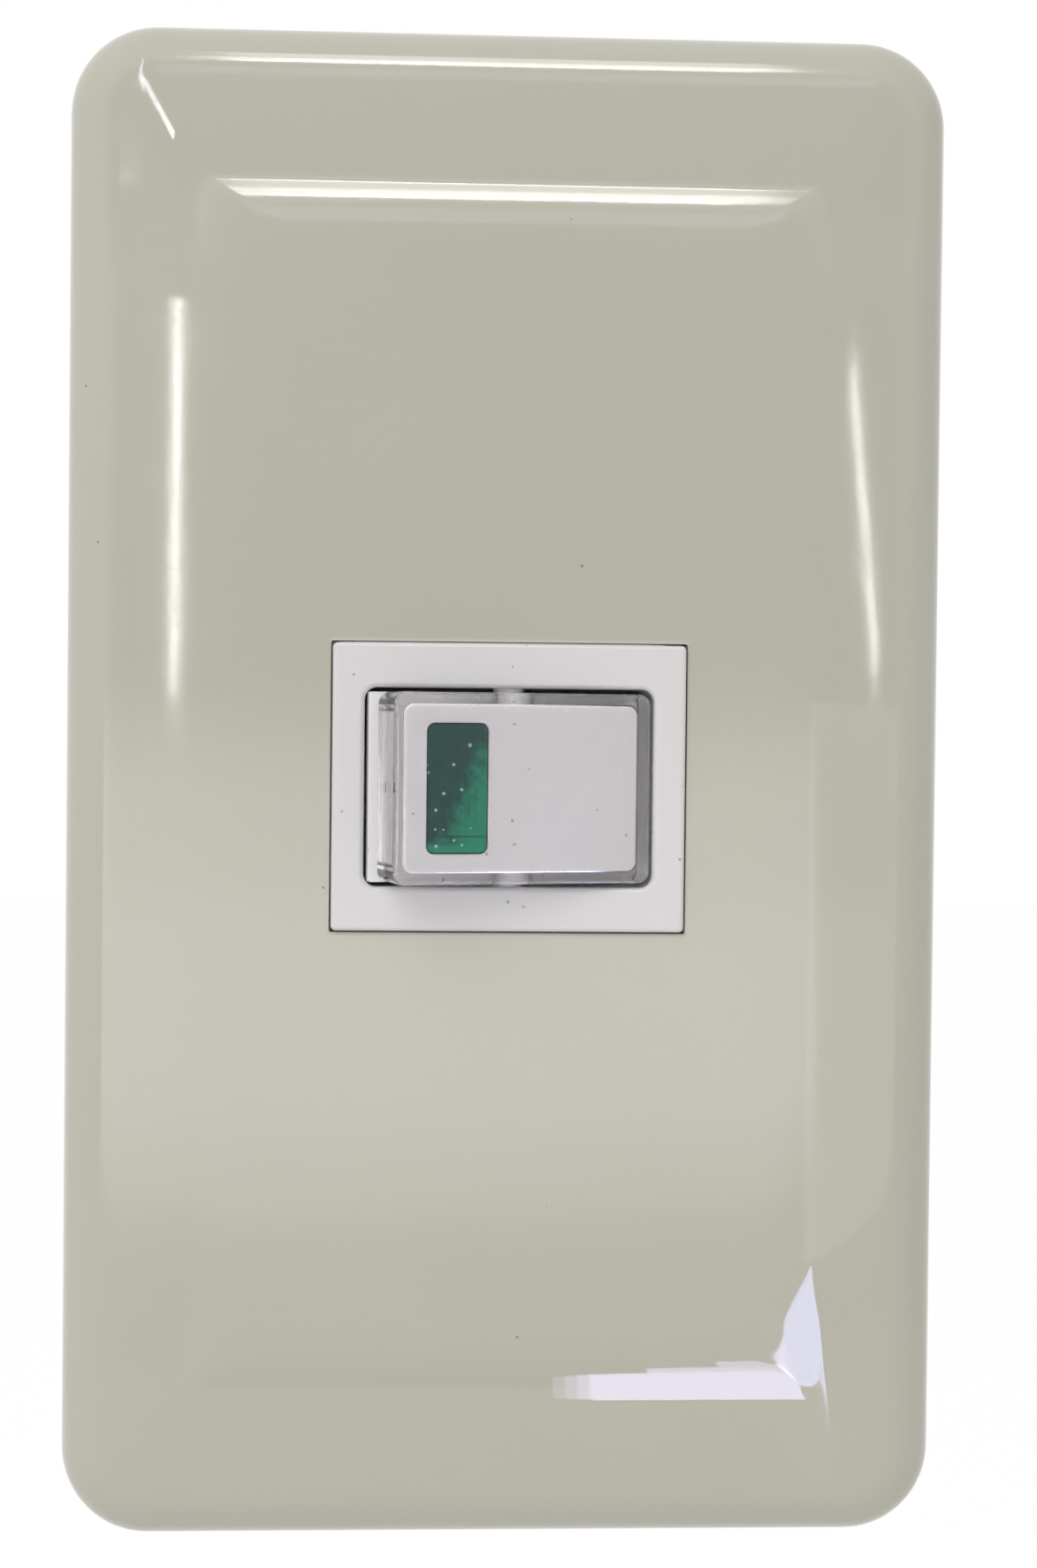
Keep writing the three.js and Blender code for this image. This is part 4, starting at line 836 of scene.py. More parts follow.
def face_plate():
    """The moulded plate: one skin from its rim over the front, through the window and back."""
    plate = bpy.context.scene.switch_plate
    depth = -plate_low.y
    rim_floor = depth - plate.wall
    collar_foot = rim_floor - plate.collar_drop
    edge, gap, chamfer = plate.window_edge, plate.window_gap, 0.2 * MM

    def window(spread, out):
        return spread_ring(bezel_width + 2 * gap, bezel_height + 2 * gap, edge, spread, out)

    outside = [(chamfer, 0.0), (chamfer / 4, chamfer / 4), (0.0, chamfer)]
    inside = [
        (plate.margin_x + plate.blend, rim_floor),
        (plate.margin_x, plate.crease - plate.wall),
        (plate.edge_width / 2, plate.shoulder - plate.wall),
        (0.0, plate.side_height),
        (0.0, chamfer),
        (-chamfer, 0.0),
    ]
    rings = [plate_ring(plate, *at) for at in outside + plate_section(plate, depth)]
    rings += [
        window(2 * edge, depth),
        window(edge, depth),
        window(edge / 3, depth - edge / 12),
        window(edge / 12, depth - edge / 3),
        window(0.0, depth - edge),
        window(0.0, collar_foot),
        window(plate.collar_wall, collar_foot),
        window(plate.collar_wall, rim_floor),
    ]
    rings += [plate_ring(plate, *at, plate.wall) for at in inside]
    bm = loft(rings, closed=True, steps=20)
    fade_side_creases(bm, plate, depth)
    sink = 0.3 * MM
    low, high = rim_floor - plate.rib_drop, rim_floor + sink
    tall = plate_high.z - plate.margin_y
    wide = plate_high.x - plate.margin_x
    half = plate.rib_wall / 2
    for side in (-1, 1):
        x = side * (plate.rib_spread + bezel_width / 4)
        up = side * (plate.rib_spread + bezel_height / 2)
        absorb(bm, front_bar((x - half, -tall, low), (x + half, tall, high), sink / 2))
        absorb(bm, front_bar((-wide, up - half, low), (wide, up + half, high), sink / 2))
        for end in (-1, 1):
            claw = plate_claw(plate, end * plate.claw_spread)
            absorb(bm, claw, Matrix.Diagonal((side, 1, 1, 1)))
    stand_for("face_plate", "plate_shell", bm)


def plate_claw(plate, middle):
    """A right-hand claw of the plate that grips the inner frame's rim with a pointed tip."""
    wall = plate_high.x - plate.wall + SINK
    tip = wall - plate.claw_reach
    half = plate.claw_width / 2
    top = plate.claw_foot + plate.claw_height
    bm = front_bar((tip, middle - half, plate.claw_foot), (wall, middle + half, top))
    tip_top = top - 1.9 * MM
    tip_thickness = 0.12 * MM
    rounding = 0.1 * MM
    for vert in bm.verts:
        if vert.co.x < tip + rounding:
            above = -vert.co.y > tip_top
            vert.co.y = -tip_top if above else tip_thickness - tip_top
    round_edges(bm, bm.edges, rounding)
    return bm


def module_bezel():
    """The module's front frame with its four legs."""
    bezel = bpy.context.scene.switch_bezel
    opening = opening_sizes()
    top, back = -bezel_low.y, bezel.back
    edge, lip = bezel.edge, bezel.lip
    past_edge, past_lip = 1.2 * edge, 1.2 * lip
    least, corner = 0.05 * MM, 0.1 * MM

    def outer(inset, out):
        around = max(edge - inset, least) + corner
        return ring(bezel_width - 2 * inset, bezel_height - 2 * inset, around, out)

    def mouth(spread, out):
        return spread_ring(*opening, bezel.corner, spread, out)

    rings = [outer(0.0, back), outer(0.0, back + edge), outer(0.0, top - past_edge)]
    rings += [outer(edge * (1 - math.cos(a)), top - edge * (1 - math.sin(a))) for a in quarter(5)]
    rings += [outer(past_edge, top), mouth(past_lip, top)]
    rings += [mouth(lip * (1 - math.sin(a)), top - lip * (1 - math.cos(a))) for a in quarter(6)]
    rings += [mouth(0.0, top - past_lip), mouth(0.0, back)]
    bm = loft(rings, closed=True)
    for side in (-1, 1):
        for across in (-1, 1):
            absorb(bm, bezel_leg(bezel, bezel_height / 2, side, across))
    stand_for("module_bezel", "bezel_shell", bm)


def bezel_leg(bezel, outer, side, across):
    """A leg of the bezel with the window that its wedge fills."""
    inner = outer - bezel.leg_wall
    foot = bezel.back - bezel.leg_length
    corner = 0.12 * MM
    leg = (bezel.leg_width, bezel.leg_length + SINK, corner)
    window = (bezel.leg_window, bezel.leg_window_height, corner)
    middle = (foot + bezel.back + SINK) / 2
    window_middle = foot + bezel.leg_foot + bezel.leg_window_height / 2
    rings = [ring(*leg, out, up=middle) for out in (inner, outer)]
    rings += [ring(*window, out, up=window_middle) for out in (outer, inner)]
    bm = loft(rings, closed=True, steps=3)
    x = bezel.leg_start + bezel.leg_width / 2
    # the rings face the front with their height as out, so they are laid over to face up
    lay = Matrix(((across, 0, 0, across * x), (0, 0, -1, 0), (0, -side, 0, 0), (0, 0, 0, 1)))
    bmesh.ops.transform(bm, matrix=lay, verts=bm.verts)
    return face_outwards(bm)


def opening_sizes():
    """Width and height of the bezel's opening."""
    bezel = bpy.context.scene.switch_bezel
    return bezel_width - 2 * bezel.side, bezel_height - 2 * bezel.end


def cap_sizes():
    """Length and width of the clear cap."""
    rocker = bpy.context.scene.switch_rocker
    width, height = opening_sizes()
    return width - 2 * rocker.cap_end, height - 2 * rocker.cap_side


def body_sizes():
    """Length, width and top of the white body inside the clear cap."""
    rocker = bpy.context.scene.switch_rocker
    length, width = cap_sizes()
    gap = rocker.cap_wall + rocker.body_gap
    return length - 2 * gap, width - 2 * gap, rocker.cap_top - gap


def lens_sizes():
    """Centre, width and height of the pilot window on the level rocker."""
    rocker = bpy.context.scene.switch_rocker
    body_length, body_width, _ = body_sizes()
    outer = body_length / 2 - rocker.lens_side
    stem_gap = 0.23 * MM
    width = outer - rocker.stem - stem_gap - rocker.flange
    return -(outer - width / 2), width, body_width - 2 * rocker.lens_end


def rounded_top(width, height, corner, top, edge, count=4):
    """Rings that round the upper edge of a block."""
    past = 1.3 * edge
    least = 0.1 * MM
    rounding = [(edge * (1 - math.cos(a)), top - edge * (1 - math.sin(a))) for a in quarter(count)]
    rings = [ring(width, height, corner, top - past)]
    for inset, out in (*rounding, (past, top)):
        rings.append(ring(width - 2 * inset, height - 2 * inset, max(corner - inset, least), out))
    return rings


def rocker_body():
    """The white rocker: body with its window, skirt, stem and trunnions."""
    rocker = bpy.context.scene.switch_rocker
    length, width, top = body_sizes()
    lens_x, lens_width, lens_height = lens_sizes()
    wall, gap = rocker.body_wall, rocker.lens_gap
    edge, lip = 0.18 * MM, 0.08 * MM
    ledge = -(rocker.cap_foot + 0.05 * MM)
    foot = ledge - LAP
    under = top - rocker.top_wall
    outside = (length, width, rocker.body_corner)
    inside = (length - 2 * wall, width - 2 * wall, rocker.body_corner)

    def hole(spread, out):
        lens = (lens_width, lens_height, rocker.lens_corner)
        return spread_ring(*lens, gap + spread, out, x=lens_x)

    rings = [ring(*outside, foot), *rounded_top(*outside, top, edge)]
    rings += [hole(1.5 * lip, top), hole(lip, top), hole(0.0, top - lip), hole(0.0, under)]
    rings += [ring(*inside, under), ring(*inside, foot)]
    bm = loft(rings, closed=True, steps=12)
    absorb(bm, skirt(rocker, ledge))
    bore, bore_end = 1.55 * MM, 1.2 * MM
    stem = [
        (0, under + SINK),
        (rocker.stem, under + SINK),
        (rocker.stem, SINK - rocker.stem_drop),
        (rocker.stem - SINK, -rocker.stem_drop),
        (bore, -rocker.stem_drop),
        (bore, bore_end),
        (0, bore_end),
    ]
    absorb(bm, spun(stem), Matrix.Rotation(math.pi / 2, 4, "X"))
    half_rib, rib_start, rib_drop = 0.6 * MM, 1.9 * MM, 2 * MM
    for side in (-1, 1):
        low, high = sorted((side * rib_start, side * (width / 2 - wall / 2)))
        absorb(bm, front_bar((-half_rib, low, -rib_drop), (half_rib, high, under + SINK)))
    shoulder, root, chamfer = cap_sizes()[1] / 2, width / 2 - wall, 0.1 * MM
    reach = shoulder + rocker.trunnion_reach
    pin = [
        (0, root),
        (rocker.boss, root),
        (rocker.boss, shoulder - chamfer),
        (rocker.boss - chamfer, shoulder),
        (rocker.trunnion, shoulder),
        (rocker.trunnion, reach - 2 * chamfer),
        (rocker.trunnion - 2 * chamfer, reach),
        (0, reach),
    ]
    absorb(bm, spun(pin))
    absorb(bm, spun(pin), Matrix.Rotation(math.pi, 4, "X"))
    # the moulding takes the white painted lighter, as painted light
    stand_on_rocker("rocker", "rocker_moulding", bm, "rocker_white_painted_lighter")


def skirt(rocker, ledge):
    """The rocker's skirt: a drum's slice with rounded ends, hollow below."""
    body_length, body_width, _ = body_sizes()
    cap_width = cap_sizes()[1]
    radius = opening_sizes()[0] / 2 - rocker.skirt_gap
    inner = radius - rocker.skirt_wall
    drop, foot = rocker.skirt_drop, ledge - LAP
    steps = 10
    sink, rounding, end_rounding = 0.3 * MM, 0.08 * MM, 0.12 * MM
    square, rim = 1.0, radius * 0.93
    points = []
    for around, high, low in ((radius, -ledge, drop), (inner, drop, -foot)):
        start, end = math.asin(high / around), math.asin(low / around)
        arc = [start + (end - start) * step / steps for step in range(steps + 1)]
        points += [(around * math.cos(a), -around * math.sin(a)) for a in arc]
    points += [(body_length / 2 - sink, foot), (body_length / 2 - sink, ledge)]
    bm = bmesh.new()
    for side in (-1, 1):
        shape = bmesh.new()
        verts = [shape.verts.new(front(side * x, -cap_width / 2, out)) for x, out in points]
        face = shape.faces.new(verts)
        made = bmesh.ops.extrude_face_region(shape, geom=[face])["geom"]
        moved = [item for item in made if isinstance(item, bmesh.types.BMVert)]
        bmesh.ops.translate(shape, verts=moved, vec=(0, 0, cap_width))
        face_outwards(shape)
        upright = [
            edge
            for edge in shape.edges
            if edge.calc_face_angle(0.0) > square
            and all(abs(vert.co.x) > rim for vert in edge.verts)
        ]
        round_edges(shape, upright, end_rounding, segments=3)
        absorb(bm, shape)
    half = body_length / 2
    bars = (
        (body_width / 2 - sink, foot, ledge),
        (body_width / 2, -drop, ledge - SINK),
    )
    for side in (-1, 1):
        for near, low, high in bars:
            a, b = sorted((side * near, side * cap_width / 2))
            absorb(bm, front_bar((-half, a, low), (half, b, high), rounding))
    return bm


def clear_cap():
    """The clear cap over the rocker: outer face, rim and inner face in one closed wall."""
    rocker = bpy.context.scene.switch_rocker
    length, width = cap_sizes()
    wall, corner = rocker.cap_wall, rocker.cap_corner
    foot, rim = -rocker.cap_foot, 0.06 * MM
    inner_corner, inner_edge = rocker.body_corner + 0.05 * MM, 0.25 * MM
    inner = (length - 2 * wall, width - 2 * wall, inner_corner)
    rings = rounded_top(length, width, corner, rocker.cap_top, rocker.cap_crown, count=6)
    rings = [*rings[::-1], ring(length, width, corner, foot + rim)]
    rings += [ring(length - 2 * rim, width - 2 * rim, corner, foot), ring(*inner, foot)]
    rings += rounded_top(*inner, rocker.cap_top - wall, inner_edge)
    bm = loft(rings, steps=12)
    gate, low, high = rocker.gate, -0.1 * MM, 0.05 * MM
    mark = spun([(0, low), (gate, low), (gate, high), (0, high)], 24)
    on_end = Matrix.Translation((-length / 2, -rocker.gate_height, 0))
    absorb(bm, mark, on_end @ Matrix.Rotation(-math.pi / 2, 4, "Y"))
    stand_on_rocker("rocker_cap", "cap_clear", bm)


def pilot_window():
    """The green lens in the rocker's window, flanged behind it."""
    rocker = bpy.context.scene.switch_rocker
    body_top = body_sizes()[2]
    x, width, height = lens_sizes()
    corner, flange = rocker.lens_corner, rocker.flange
    below, edge, seat_gap = 0.06 * MM, 0.12 * MM, 0.1 * MM
    under = body_top - rocker.top_wall
    seat = under - seat_gap
    top = rounded_top(width, height, corner, body_top - below, edge, count=3)
    wide = (width + 2 * flange, height + 2 * flange, corner)
    rings = [ring(*wide, under - rocker.flange_thickness), ring(*wide, seat)]
    rings += [ring(width, height, corner, seat), *top]
    bm = loft([{**level, "x": x} for level in rings], steps=10)
    stand_on_rocker("indicator_lens", "window_lens", bm)


def screw(node, shank, head, head_height, pitch):
    """A slotted screw with a rolled thread, pointing into the wall."""
    low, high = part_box(node)
    centre = (low + high) / 2
    reach = high.y - low.y - head_height
    root = shank - 0.6 * pitch
    point, point_length = root * 0.55, 2.2 * pitch
    turns = int((reach - point_length) / pitch)
    around = 24
    thread = [(root, 0.0), (shank, pitch * 0.45), (shank, pitch * 0.55), (root, pitch)]
    bm = spun(thread, around, turns, pitch / around)
    start, core_end = -0.3 * MM, (turns + 1) * pitch
    core = [(0, start), (root, start), (root, core_end), (point, reach), (0, reach)]
    absorb(bm, spun(core, around))
    neck, taper, end = -0.1 * MM, 0.3 * MM, 0.6 * MM
    collar = [(0, neck), (shank, neck), (shank, taper), (root, end), (0, end)]
    absorb(bm, spun(collar, around))
    absorb(bm, slotted_head(head, head_height), Matrix.Rotation(math.pi, 4, "X"))
    place = Matrix.Translation((centre.x, low.y + head_height, centre.z))
    point_in = Matrix.Rotation(-math.pi / 2, 4, "X")
    bmesh.ops.transform(bm, matrix=place @ point_in, verts=bm.verts)
    stand_for(node, node + "_turned", bm, sharp=38)


def slotted_head(radius, height):
    """A pan head with a driving slot across x."""
    chamfer, half_slot, slot_depth = 0.1 * MM, 0.45 * MM, 0.9 * MM
    floor = height - slot_depth
    dome = 2 * height / 3
    side = height - dome
    profile = [(0, 0), (radius - chamfer, 0), (radius, chamfer), (radius, side)]
    profile += [(radius * math.cos(a), side + dome * math.sin(a)) for a in quarter(8)[1:-1]]
    bm = spun([*profile, (0, height)])
    for across in (-1, 1):
        cut(bm, (0, across * half_slot, 0), (0, across, 0))
    cut(bm, (0, 0, floor), (0, 0, 1))
    middles = {face: face.calc_center_median() for face in bm.faces}
    inside = [face for face, at in middles.items() if abs(at.y) < half_slot and at.z > floor]
    bmesh.ops.delete(bm, geom=inside, context="FACES")
    rim = [edge for edge in bm.edges if edge.is_boundary]
    bmesh.ops.holes_fill(bm, edges=rim, sides=0)
    return face_outwards(bm)


def spring():
    """The plunger's coil spring inside the rocker's stem."""
    wire, radius, margin = 0.16 * MM, 1.2 * MM, 0.25 * MM
    low, high = -3.6 * MM + margin + wire, 1.2 * MM - margin - wire
    turns, around, corners = 7, 28, 10
    angles = [TURN * corner / corners for corner in range(corners)]
    section = [(radius + wire * math.cos(a), wire * math.sin(a)) for a in angles]
    bm = spun(section, around, turns, (high - low) / turns / around, closed=True)
    stand = Matrix.Translation((0, -low, 0)) @ Matrix.Rotation(math.pi / 2, 4, "X")
    stand_on_rocker("plunger_spring", "spring_coil", bm, place=stand)


def neon_tube():
    """The neon tube's glass with its two electrodes inside."""
    refine("pilot_lamp", "lamp_envelope", 0.05 * MM, sharp=50)
    low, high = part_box("pilot_lamp")
    centre = (low + high) / 2
    apart = 0.35 * (high.x - low.x) / 2
    foot, edge, shoulder, end = 0.3 * MM, 0.35 * MM, 2.4 * MM, 2.2 * MM
    radius = 0.22 * MM
    rod = [(radius, low.z + edge), (radius, high.z - shoulder)]
    bm = bmesh.new()
    for side in (-1, 1):
        pin = spun([(0, low.z + foot), *rod, (0, high.z - end)], 16)
        absorb(bm, pin, Matrix.Translation((centre.x + side * apart, centre.y, 0)))
    finish_piece("lamp_electrodes", bm, "tinned_wire", "switch_body", "tinned_wire")


# Operators


class SWITCH_OT_finishes(bpy.types.Operator):
    """Make the materials of every piece"""

    bl_idname = "switch.finishes"
    bl_label = "Finishes"

    def execute(self, context):
        make_finishes()
        for node, obj in frame["nodes"].items():
            obj.data.materials.clear()
            obj.data.materials.append(bpy.data.materials[slot_of(node)])
        return {"FINISHED"}


class SWITCH_OT_face_plate(bpy.types.Operator):
    """Build the moulded face plate"""

    bl_idname = "switch.face_plate"
    bl_label = "Face plate"

    def execute(self, context):
        face_plate()
        return {"FINISHED"}


class SWITCH_OT_bezel(bpy.types.Operator):
    """Build the module's front frame"""

    bl_idname = "switch.bezel"
    bl_label = "Module bezel"

    def execute(self, context):
        module_bezel()
        return {"FINISHED"}


class SWITCH_OT_rocker(bpy.types.Operator):
    """Build the rocker, its clear cap and its green window"""

    bl_idname = "switch.rocker"
    bl_label = "Rocker, cap and window"

    def execute(self, context):
        rocker_body()
        clear_cap()
        pilot_window()
        return {"FINISHED"}


class SWITCH_OT_frame(bpy.types.Operator):
    """Build the inner frame, the strap and the rear housing"""

    bl_idname = "switch.frame"
    bl_label = "Frame, strap and housing"

    def execute(self, context):
        refine("inner_frame", "frame_moulding", 0.18 * MM)
        refine("mounting_strap", "strap_sheet", 0.12 * MM)
        refine("module_base", "base_housing", 0.16 * MM)
        return {"FINISHED"}


class SWITCH_OT_terminals(bpy.types.Operator):
    """Build the terminals, strips, contacts and contact arm"""

    bl_idname = "switch.terminals"
    bl_label = "Terminals and contacts"

    def execute(self, context):
        for side in ("line", "load"):
            refine(side + "_terminal_block", side + "_block", 0.15 * MM)
            refine(side + "_terminal_screw", side + "_screw", 0.08 * MM)
        for node in ("fulcrum_strip", "contact_strip", "contact_arm"):
            refine(node, node + "_metal", 0.08 * MM)
        for node in ("fixed_contact", "moving_contact"):
            refine(node, node + "_rivet", 0.05 * MM, sharp=50)
        return {"FINISHED"}


class SWITCH_OT_pilot(bpy.types.Operator):
    """Build the pilot lamp, its resistor and leads"""

    bl_idname = "switch.pilot"
    bl_label = "Pilot lamp"

    def execute(self, context):
        neon_tube()
        refine("lamp_resistor", "resistor_lacquer", 0.05 * MM, sharp=50)
        for node in ("lamp_lead_line", "lamp_lead_load", "resistor_lead"):
            refine(node, node + "_wire", 0.0, sharp=75)
        return {"FINISHED"}


class SWITCH_OT_plunger(bpy.types.Operator):
    """Build the plunger and its spring"""

    bl_idname = "switch.plunger"
    bl_label = "Plunger and spring"

    def execute(self, context):
        refine("plunger", "plunger_pin", 0.05 * MM, sharp=40)
        spring()
        return {"FINISHED"}


class SWITCH_OT_screws(bpy.types.Operator):
    """Build the strap's and the plate's screws"""

    bl_idname = "switch.screws"
    bl_label = "Screws"

    def execute(self, context):
        # radius of the shank and of the head, height of the head, pitch of the thread
        kinds = {
            "box_screw_": (1.75 * MM, 3.6 * MM, 2.2 * MM, 0.6 * MM),
            "plate_screw_": (1.5 * MM, 2.9 * MM, 1.7 * MM, 0.5 * MM),
        }
        for place in ("upper", "lower"):
            for kind, sizes in kinds.items():
                screw(kind + place, *sizes)
        return {"FINISHED"}


def direction(azimuth, elevation):
    """The unit vector towards a direction in degrees, seen from the switch."""
    around, above = math.radians(azimuth), math.radians(elevation)
    return Vector(
        (math.sin(around) * math.cos(above), -math.cos(around) * math.cos(above), math.sin(above))
    )


def area_lamp(name, width, height, radiance, tint, place):
    """A rectangular lamp with an even radiance."""
    data = bpy.data.lights.new(name, "AREA")
    data.shape = "RECTANGLE"
    data.size, data.size_y = width, height
    data.energy = radiance * math.pi * width * height
    data.color = tint
    obj = add_object(name, data)
    obj.matrix_world = place
    return obj


def lamp(name, towards, distance, width, height, radiance, tint, roll=0.0):
    """A rectangular lamp that faces the switch from the given direction."""
    turn = towards.to_track_quat("Z", "Y").to_matrix().to_4x4()
    place = Matrix.Translation(towards * distance) @ turn @ Matrix.Rotation(roll, 4, "Z")
    return area_lamp(name, width, height, radiance, tint, place)


def streak(name, start, end, width, radiance, tint=(1, 1, 1)):
    """A long lamp between two directions, its width in degrees, that shows only as a reflection."""
    distance = 1.3
    a, b = direction(*start), direction(*end)
    middle = (a + b).normalized()
    along = middle.to_track_quat("Z", "Y").to_matrix().inverted() @ (b - a)
    size, wide = distance * (b - a).length, distance * math.radians(width)
    roll = math.atan2(along.y, along.x)
    lamp(name, middle, distance, size, wide, radiance, tint, roll).visible_diffuse = False


def card(name, point, out, facing, across, low, high, radiance, tint):
    """A one-sided strip beside the plate, seen only as a reflection: from a point out along a
    direction, between two pairs of millimetres along and across it."""
    along, facing, across = direction(*out), Vector(facing), Vector(across)
    normal = (facing - along * along.dot(facing)).normalized()
    aside = across - along * along.dot(across)
    aside = (aside - normal * normal.dot(aside)).normalized()
    middle = Vector(point) + along * (low[0] + high[0]) / 2 + aside * (low[1] + high[1]) / 2
    size, wide = (high[0] - low[0]) * MM, (high[1] - low[1]) * MM
    turn = Matrix((along, along.cross(normal), -normal)).transposed().to_4x4()
    place = Matrix.Translation(middle * MM) @ turn
    obj = area_lamp(name, size, wide, radiance, tint, place)
    obj.visible_diffuse = False
    obj.visible_camera = False


def pale(graph):
    """One where a ray comes from the camera, a reflection or through glass."""
    path = graph.add("ShaderNodeLightPath").outputs
    seen = graph.math("MAXIMUM", path["Is Camera Ray"], path["Is Glossy Ray"])
    return graph.math("MAXIMUM", seen, path["Is Transmission Ray"])


class SWITCH_OT_stage(bpy.types.Operator):
    """Set the floor, the world, the lamps and the camera"""

    bl_idname = "switch.stage"
    bl_label = "Stage"

    def execute(self, context):
        self.floor()
        self.world()
        self.lamps()
        self.camera()
        context.scene.view_settings.view_transform = "Standard"
        return {"FINISHED"}

    def floor(self):
        """A wide pale disc far below the switch."""
        bm = bmesh.new()
        far_below = 5 * plate_low.z
        place = Matrix.Translation((0, 0, far_below))
        bmesh.ops.create_circle(bm, cap_ends=True, radius=4.0, segments=64, matrix=place)
        material = bpy.data.materials.new("pale_floor")
        material.use_nodes = True
        graph = Graph(material.node_tree)
        material.node_tree.nodes.clear()
        matt = graph.add("ShaderNodeBsdfDiffuse", {"Color": (0.9, 0.9, 0.9, 1)}).outputs[0]
        light = {"Color": (1, 1, 1, 1), "Strength": 1.06}
        glow = graph.add("ShaderNodeEmission", light).outputs[0]
        mostly = 0.85
        parts = {0: graph.times(pale(graph), mostly), 1: matt, 2: glow}
        blend = graph.add("ShaderNodeMixShader", parts).outputs[0]
        graph.add("ShaderNodeOutputMaterial", {"Surface": blend})
        floor = mesh_object("floor", bm, material)

    def world(self):
        """A soft room, white where the camera sees it and dimmer where the front mirrors it."""
        world = bpy.data.worlds.new("soft_room")
        bpy.context.scene.world = world
        world.use_nodes = True
        graph = Graph(world.node_tree)
        world.node_tree.nodes.clear()
        path = graph.add("ShaderNodeLightPath").outputs
        ray = graph.add("ShaderNodeTexCoord").outputs["Generated"]
        towards_front = graph.times(graph.axes(ray)["Y"], -1)
        dimming, start, whole = 0.65, 0.75, 0.9
        dim = graph.times(graph.ramp(towards_front, start, whole), path["Is Glossy Ray"])
        strength = graph.math("MULTIPLY_ADD", dim, -dimming, 1.0)
        seen = {"Color": (1, 1, 1, 1), "Strength": strength}
        cast = {"Color": (1, 0.99, 0.97, 1), "Strength": 0.65}
        white = graph.add("ShaderNodeBackground", seen).outputs[0]
        soft = graph.add("ShaderNodeBackground", cast).outputs[0]
        blend = graph.add("ShaderNodeMixShader", {0: pale(graph), 1: soft, 2: white}).outputs[0]
        graph.add("ShaderNodeOutputWorld", {"Surface": blend})

    def lamps(self):
        """The key lamp and what the plate's glossy edges and creases mirror."""
        distance, side, radiance = 1.1, 0.8, 2.6
        sunny = (1, 0.985, 0.95)
        key = lamp("key", direction(-32, 42), distance, side, side, radiance, sunny)
        key.visible_glossy = False
        cool, violet, warm = (0.93, 0.92, 1), (0.7, 0.66, 1), (1, 0.98, 0.96)
        streak("window_edge", (-4.8, 40.4), (13.5, 40.4), 1.4, 24)
        streak("window_low", (-5.5, 43.2), (15.5, 43.2), 4.6, 12)
        streak("window_high", (-6, 49.5), (17, 49.5), 8, 5)
        streak("window_glow", (-7, 28), (18, 28), 8, 1.3, (0.75, 0.82, 1))
        streak("left_tube", (-15.7, 1.2), (-15.5, 13.5), 1.2, 15)
        streak("left_glow", (-15.7, 0.7), (-15.5, 14.2), 2.4, 5)
        streak("right_tube", (29.6, 1.6), (25, 10), 1.0, 18)
        left, upright = direction(-108, 0), (0, 0, 1)
        low_corner = ((-26.3, -7.6, 50), (-18, 33.5), left, upright)
        high_corner = ((-31.2, -22.8, 59.4), (-18, 51), left, upright)
        card("corner_low", *low_corner, (1.5, -0.4), (19, 0.4), 15, cool)
        card("corner_high", *high_corner, (0, -0.7), (46, 0.7), 15, cool)
        side = ((25.15, -7.8, -42), (16, -30), (-1, 0, 0), upright)
        card("low_side", *side, (1, -9), (30, 5), 11, (0.56, 0.59, 1))
        card("low_side_edge", *side, (30, -9), (100, 5), 12, violet)
        foot = ((4, -9.9, -48.54), (86.6, -1.05), upright, (0, -0.956, -0.292))
        low_foot = (
            ((0.2, -1.5), (1.2, 0), 2.5),
            ((1.2, -1.6), (2.2, 0.1), 5),
            ((2.2, -1.7), (3.2, 0.2), 8),
            ((3.2, -1.9), (20.5, 0.3), 11.5),
            ((8, 0.3), (20.5, 1.2), 8),
            ((14, 1.2), (20.5, 2.6), 6),
        )
        for step, (low, high, radiance) in enumerate(low_foot):
            card("low_foot_" + str(step), *foot, low, high, radiance, violet)
        margin = ((20, -8.6, 0), (45, 0), (1, 0, 0), upright)
        field_edges = ((2.3, -13.6), (1.1, -11.7), (-0.1, -9.8))
        for step, (upper, lower) in enumerate(field_edges):
            middle = (upper + lower) / 2
            streak("field_" + str(step), (-48, middle), (26, middle), upper - lower, 0.65)
            low, high = (8, 3 * step - 39), (90, 7 - 3 * step)
            card("margin_" + str(step), *margin, low, high, 0.8, warm)

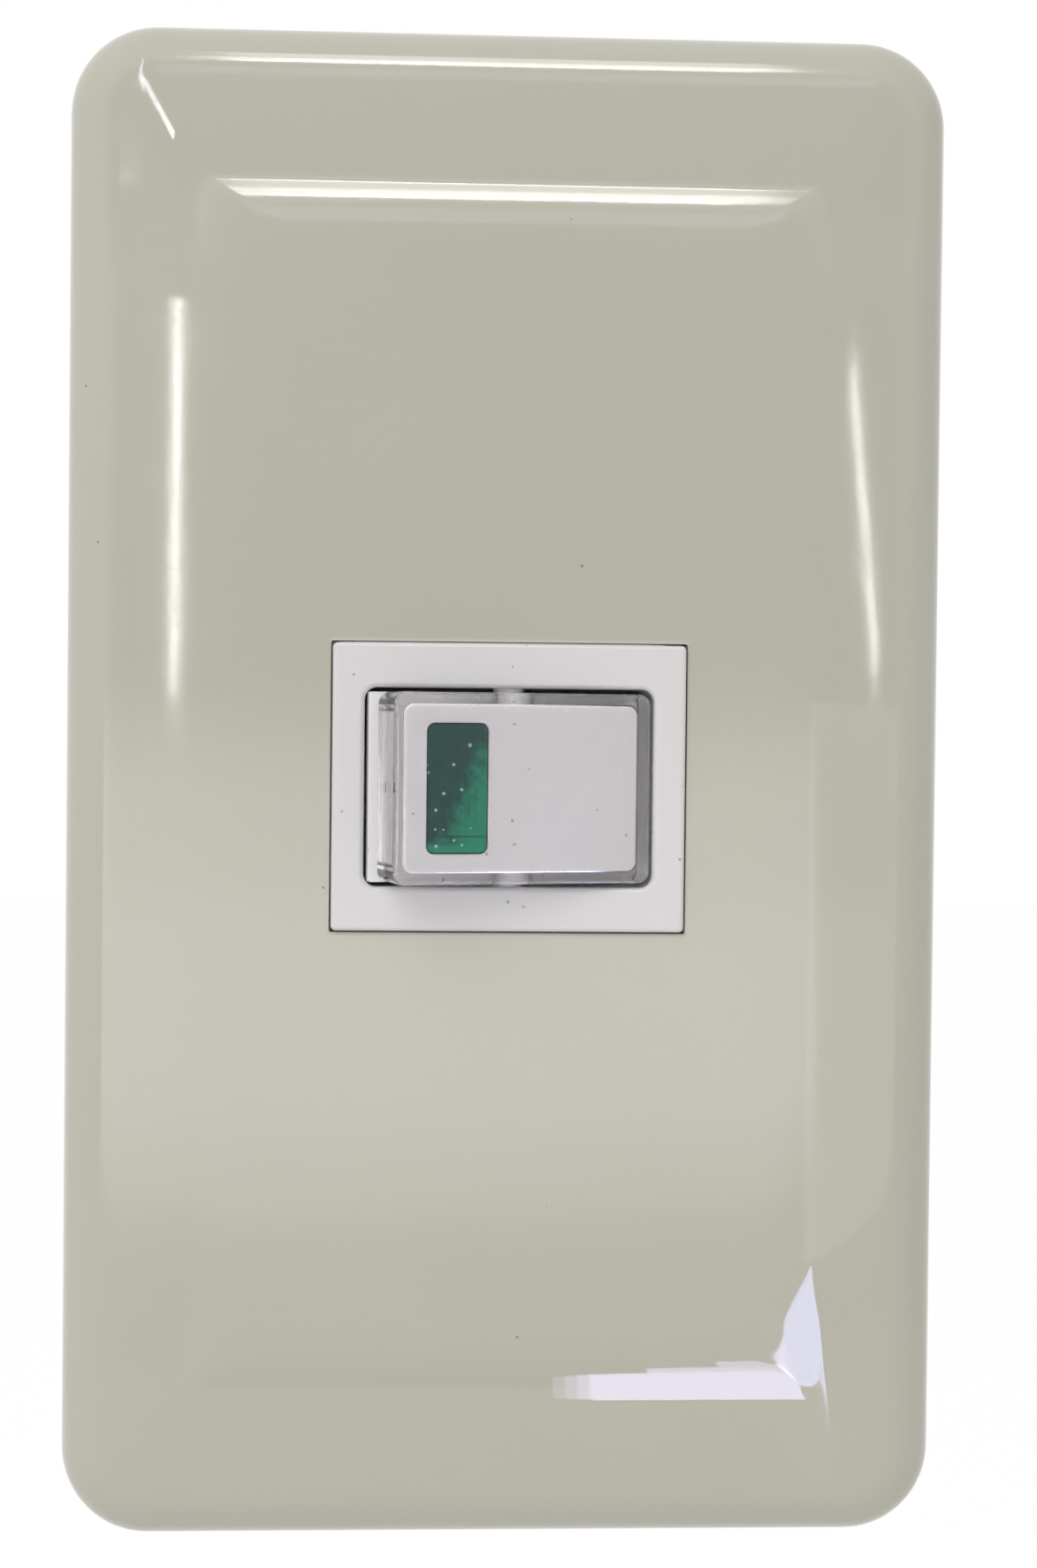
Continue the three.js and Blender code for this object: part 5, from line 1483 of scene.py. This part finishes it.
    def camera(self):
        """The photograph's camera, fitted to the plate's sides and the bezel's corners."""
        data = bpy.data.cameras.new("camera")
        data.lens = 56.27
        data.sensor_width = 36
        data.shift_x = 0.0443
        data.shift_y = -0.0138
        camera = add_object("camera", data)
        place = Matrix.Translation((-14.1 * MM, -200 * MM, 5.3 * MM))
        for degrees, axis in ((-2.81, "Z"), (-1.0, "X"), (90, "X"), (0.58, "Z")):
            place = place @ Matrix.Rotation(math.radians(degrees), 4, axis)
        camera.matrix_world = place
        bpy.context.scene.camera = camera


GROUPS = (PlateSizes, BezelSizes, RockerSizes, Finishes)
OPERATORS = (
    SWITCH_OT_stage,
    SWITCH_OT_finishes,
    SWITCH_OT_face_plate,
    SWITCH_OT_bezel,
    SWITCH_OT_rocker,
    SWITCH_OT_frame,
    SWITCH_OT_terminals,
    SWITCH_OT_pilot,
    SWITCH_OT_plunger,
    SWITCH_OT_screws,
)


class SWITCH_PT_panel(bpy.types.Panel):
    """The switch's pieces in the sidebar"""

    bl_idname = "SWITCH_PT_panel"
    bl_label = "Wall Switch"
    bl_space_type = "VIEW_3D"
    bl_region_type = "UI"
    bl_category = "Wall Switch"

    def draw(self, context):
        for operator in OPERATORS:
            self.layout.operator(operator.bl_idname)


def register():
    for item in (*GROUPS, *OPERATORS, SWITCH_PT_panel):
        bpy.utils.register_class(item)
    scene = bpy.types.Scene
    scene.switch_plate = bpy.props.PointerProperty(type=PlateSizes)
    scene.switch_bezel = bpy.props.PointerProperty(type=BezelSizes)
    scene.switch_rocker = bpy.props.PointerProperty(type=RockerSizes)
    scene.switch_finish = bpy.props.PointerProperty(type=Finishes)


def unregister():
    scene = bpy.types.Scene
    del scene.switch_plate, scene.switch_bezel, scene.switch_rocker, scene.switch_finish
    for item in reversed((*GROUPS, *OPERATORS, SWITCH_PT_panel)):
        bpy.utils.unregister_class(item)


def main():
    register()
    bpy.ops.switch.stage()
    bpy.ops.switch.finishes()
    bpy.ops.switch.face_plate()
    bpy.ops.switch.bezel()
    bpy.ops.switch.rocker()
    bpy.ops.switch.frame()
    bpy.ops.switch.terminals()
    bpy.ops.switch.pilot()
    bpy.ops.switch.plunger()
    bpy.ops.switch.screws()


if __name__ == "__main__":
    main()
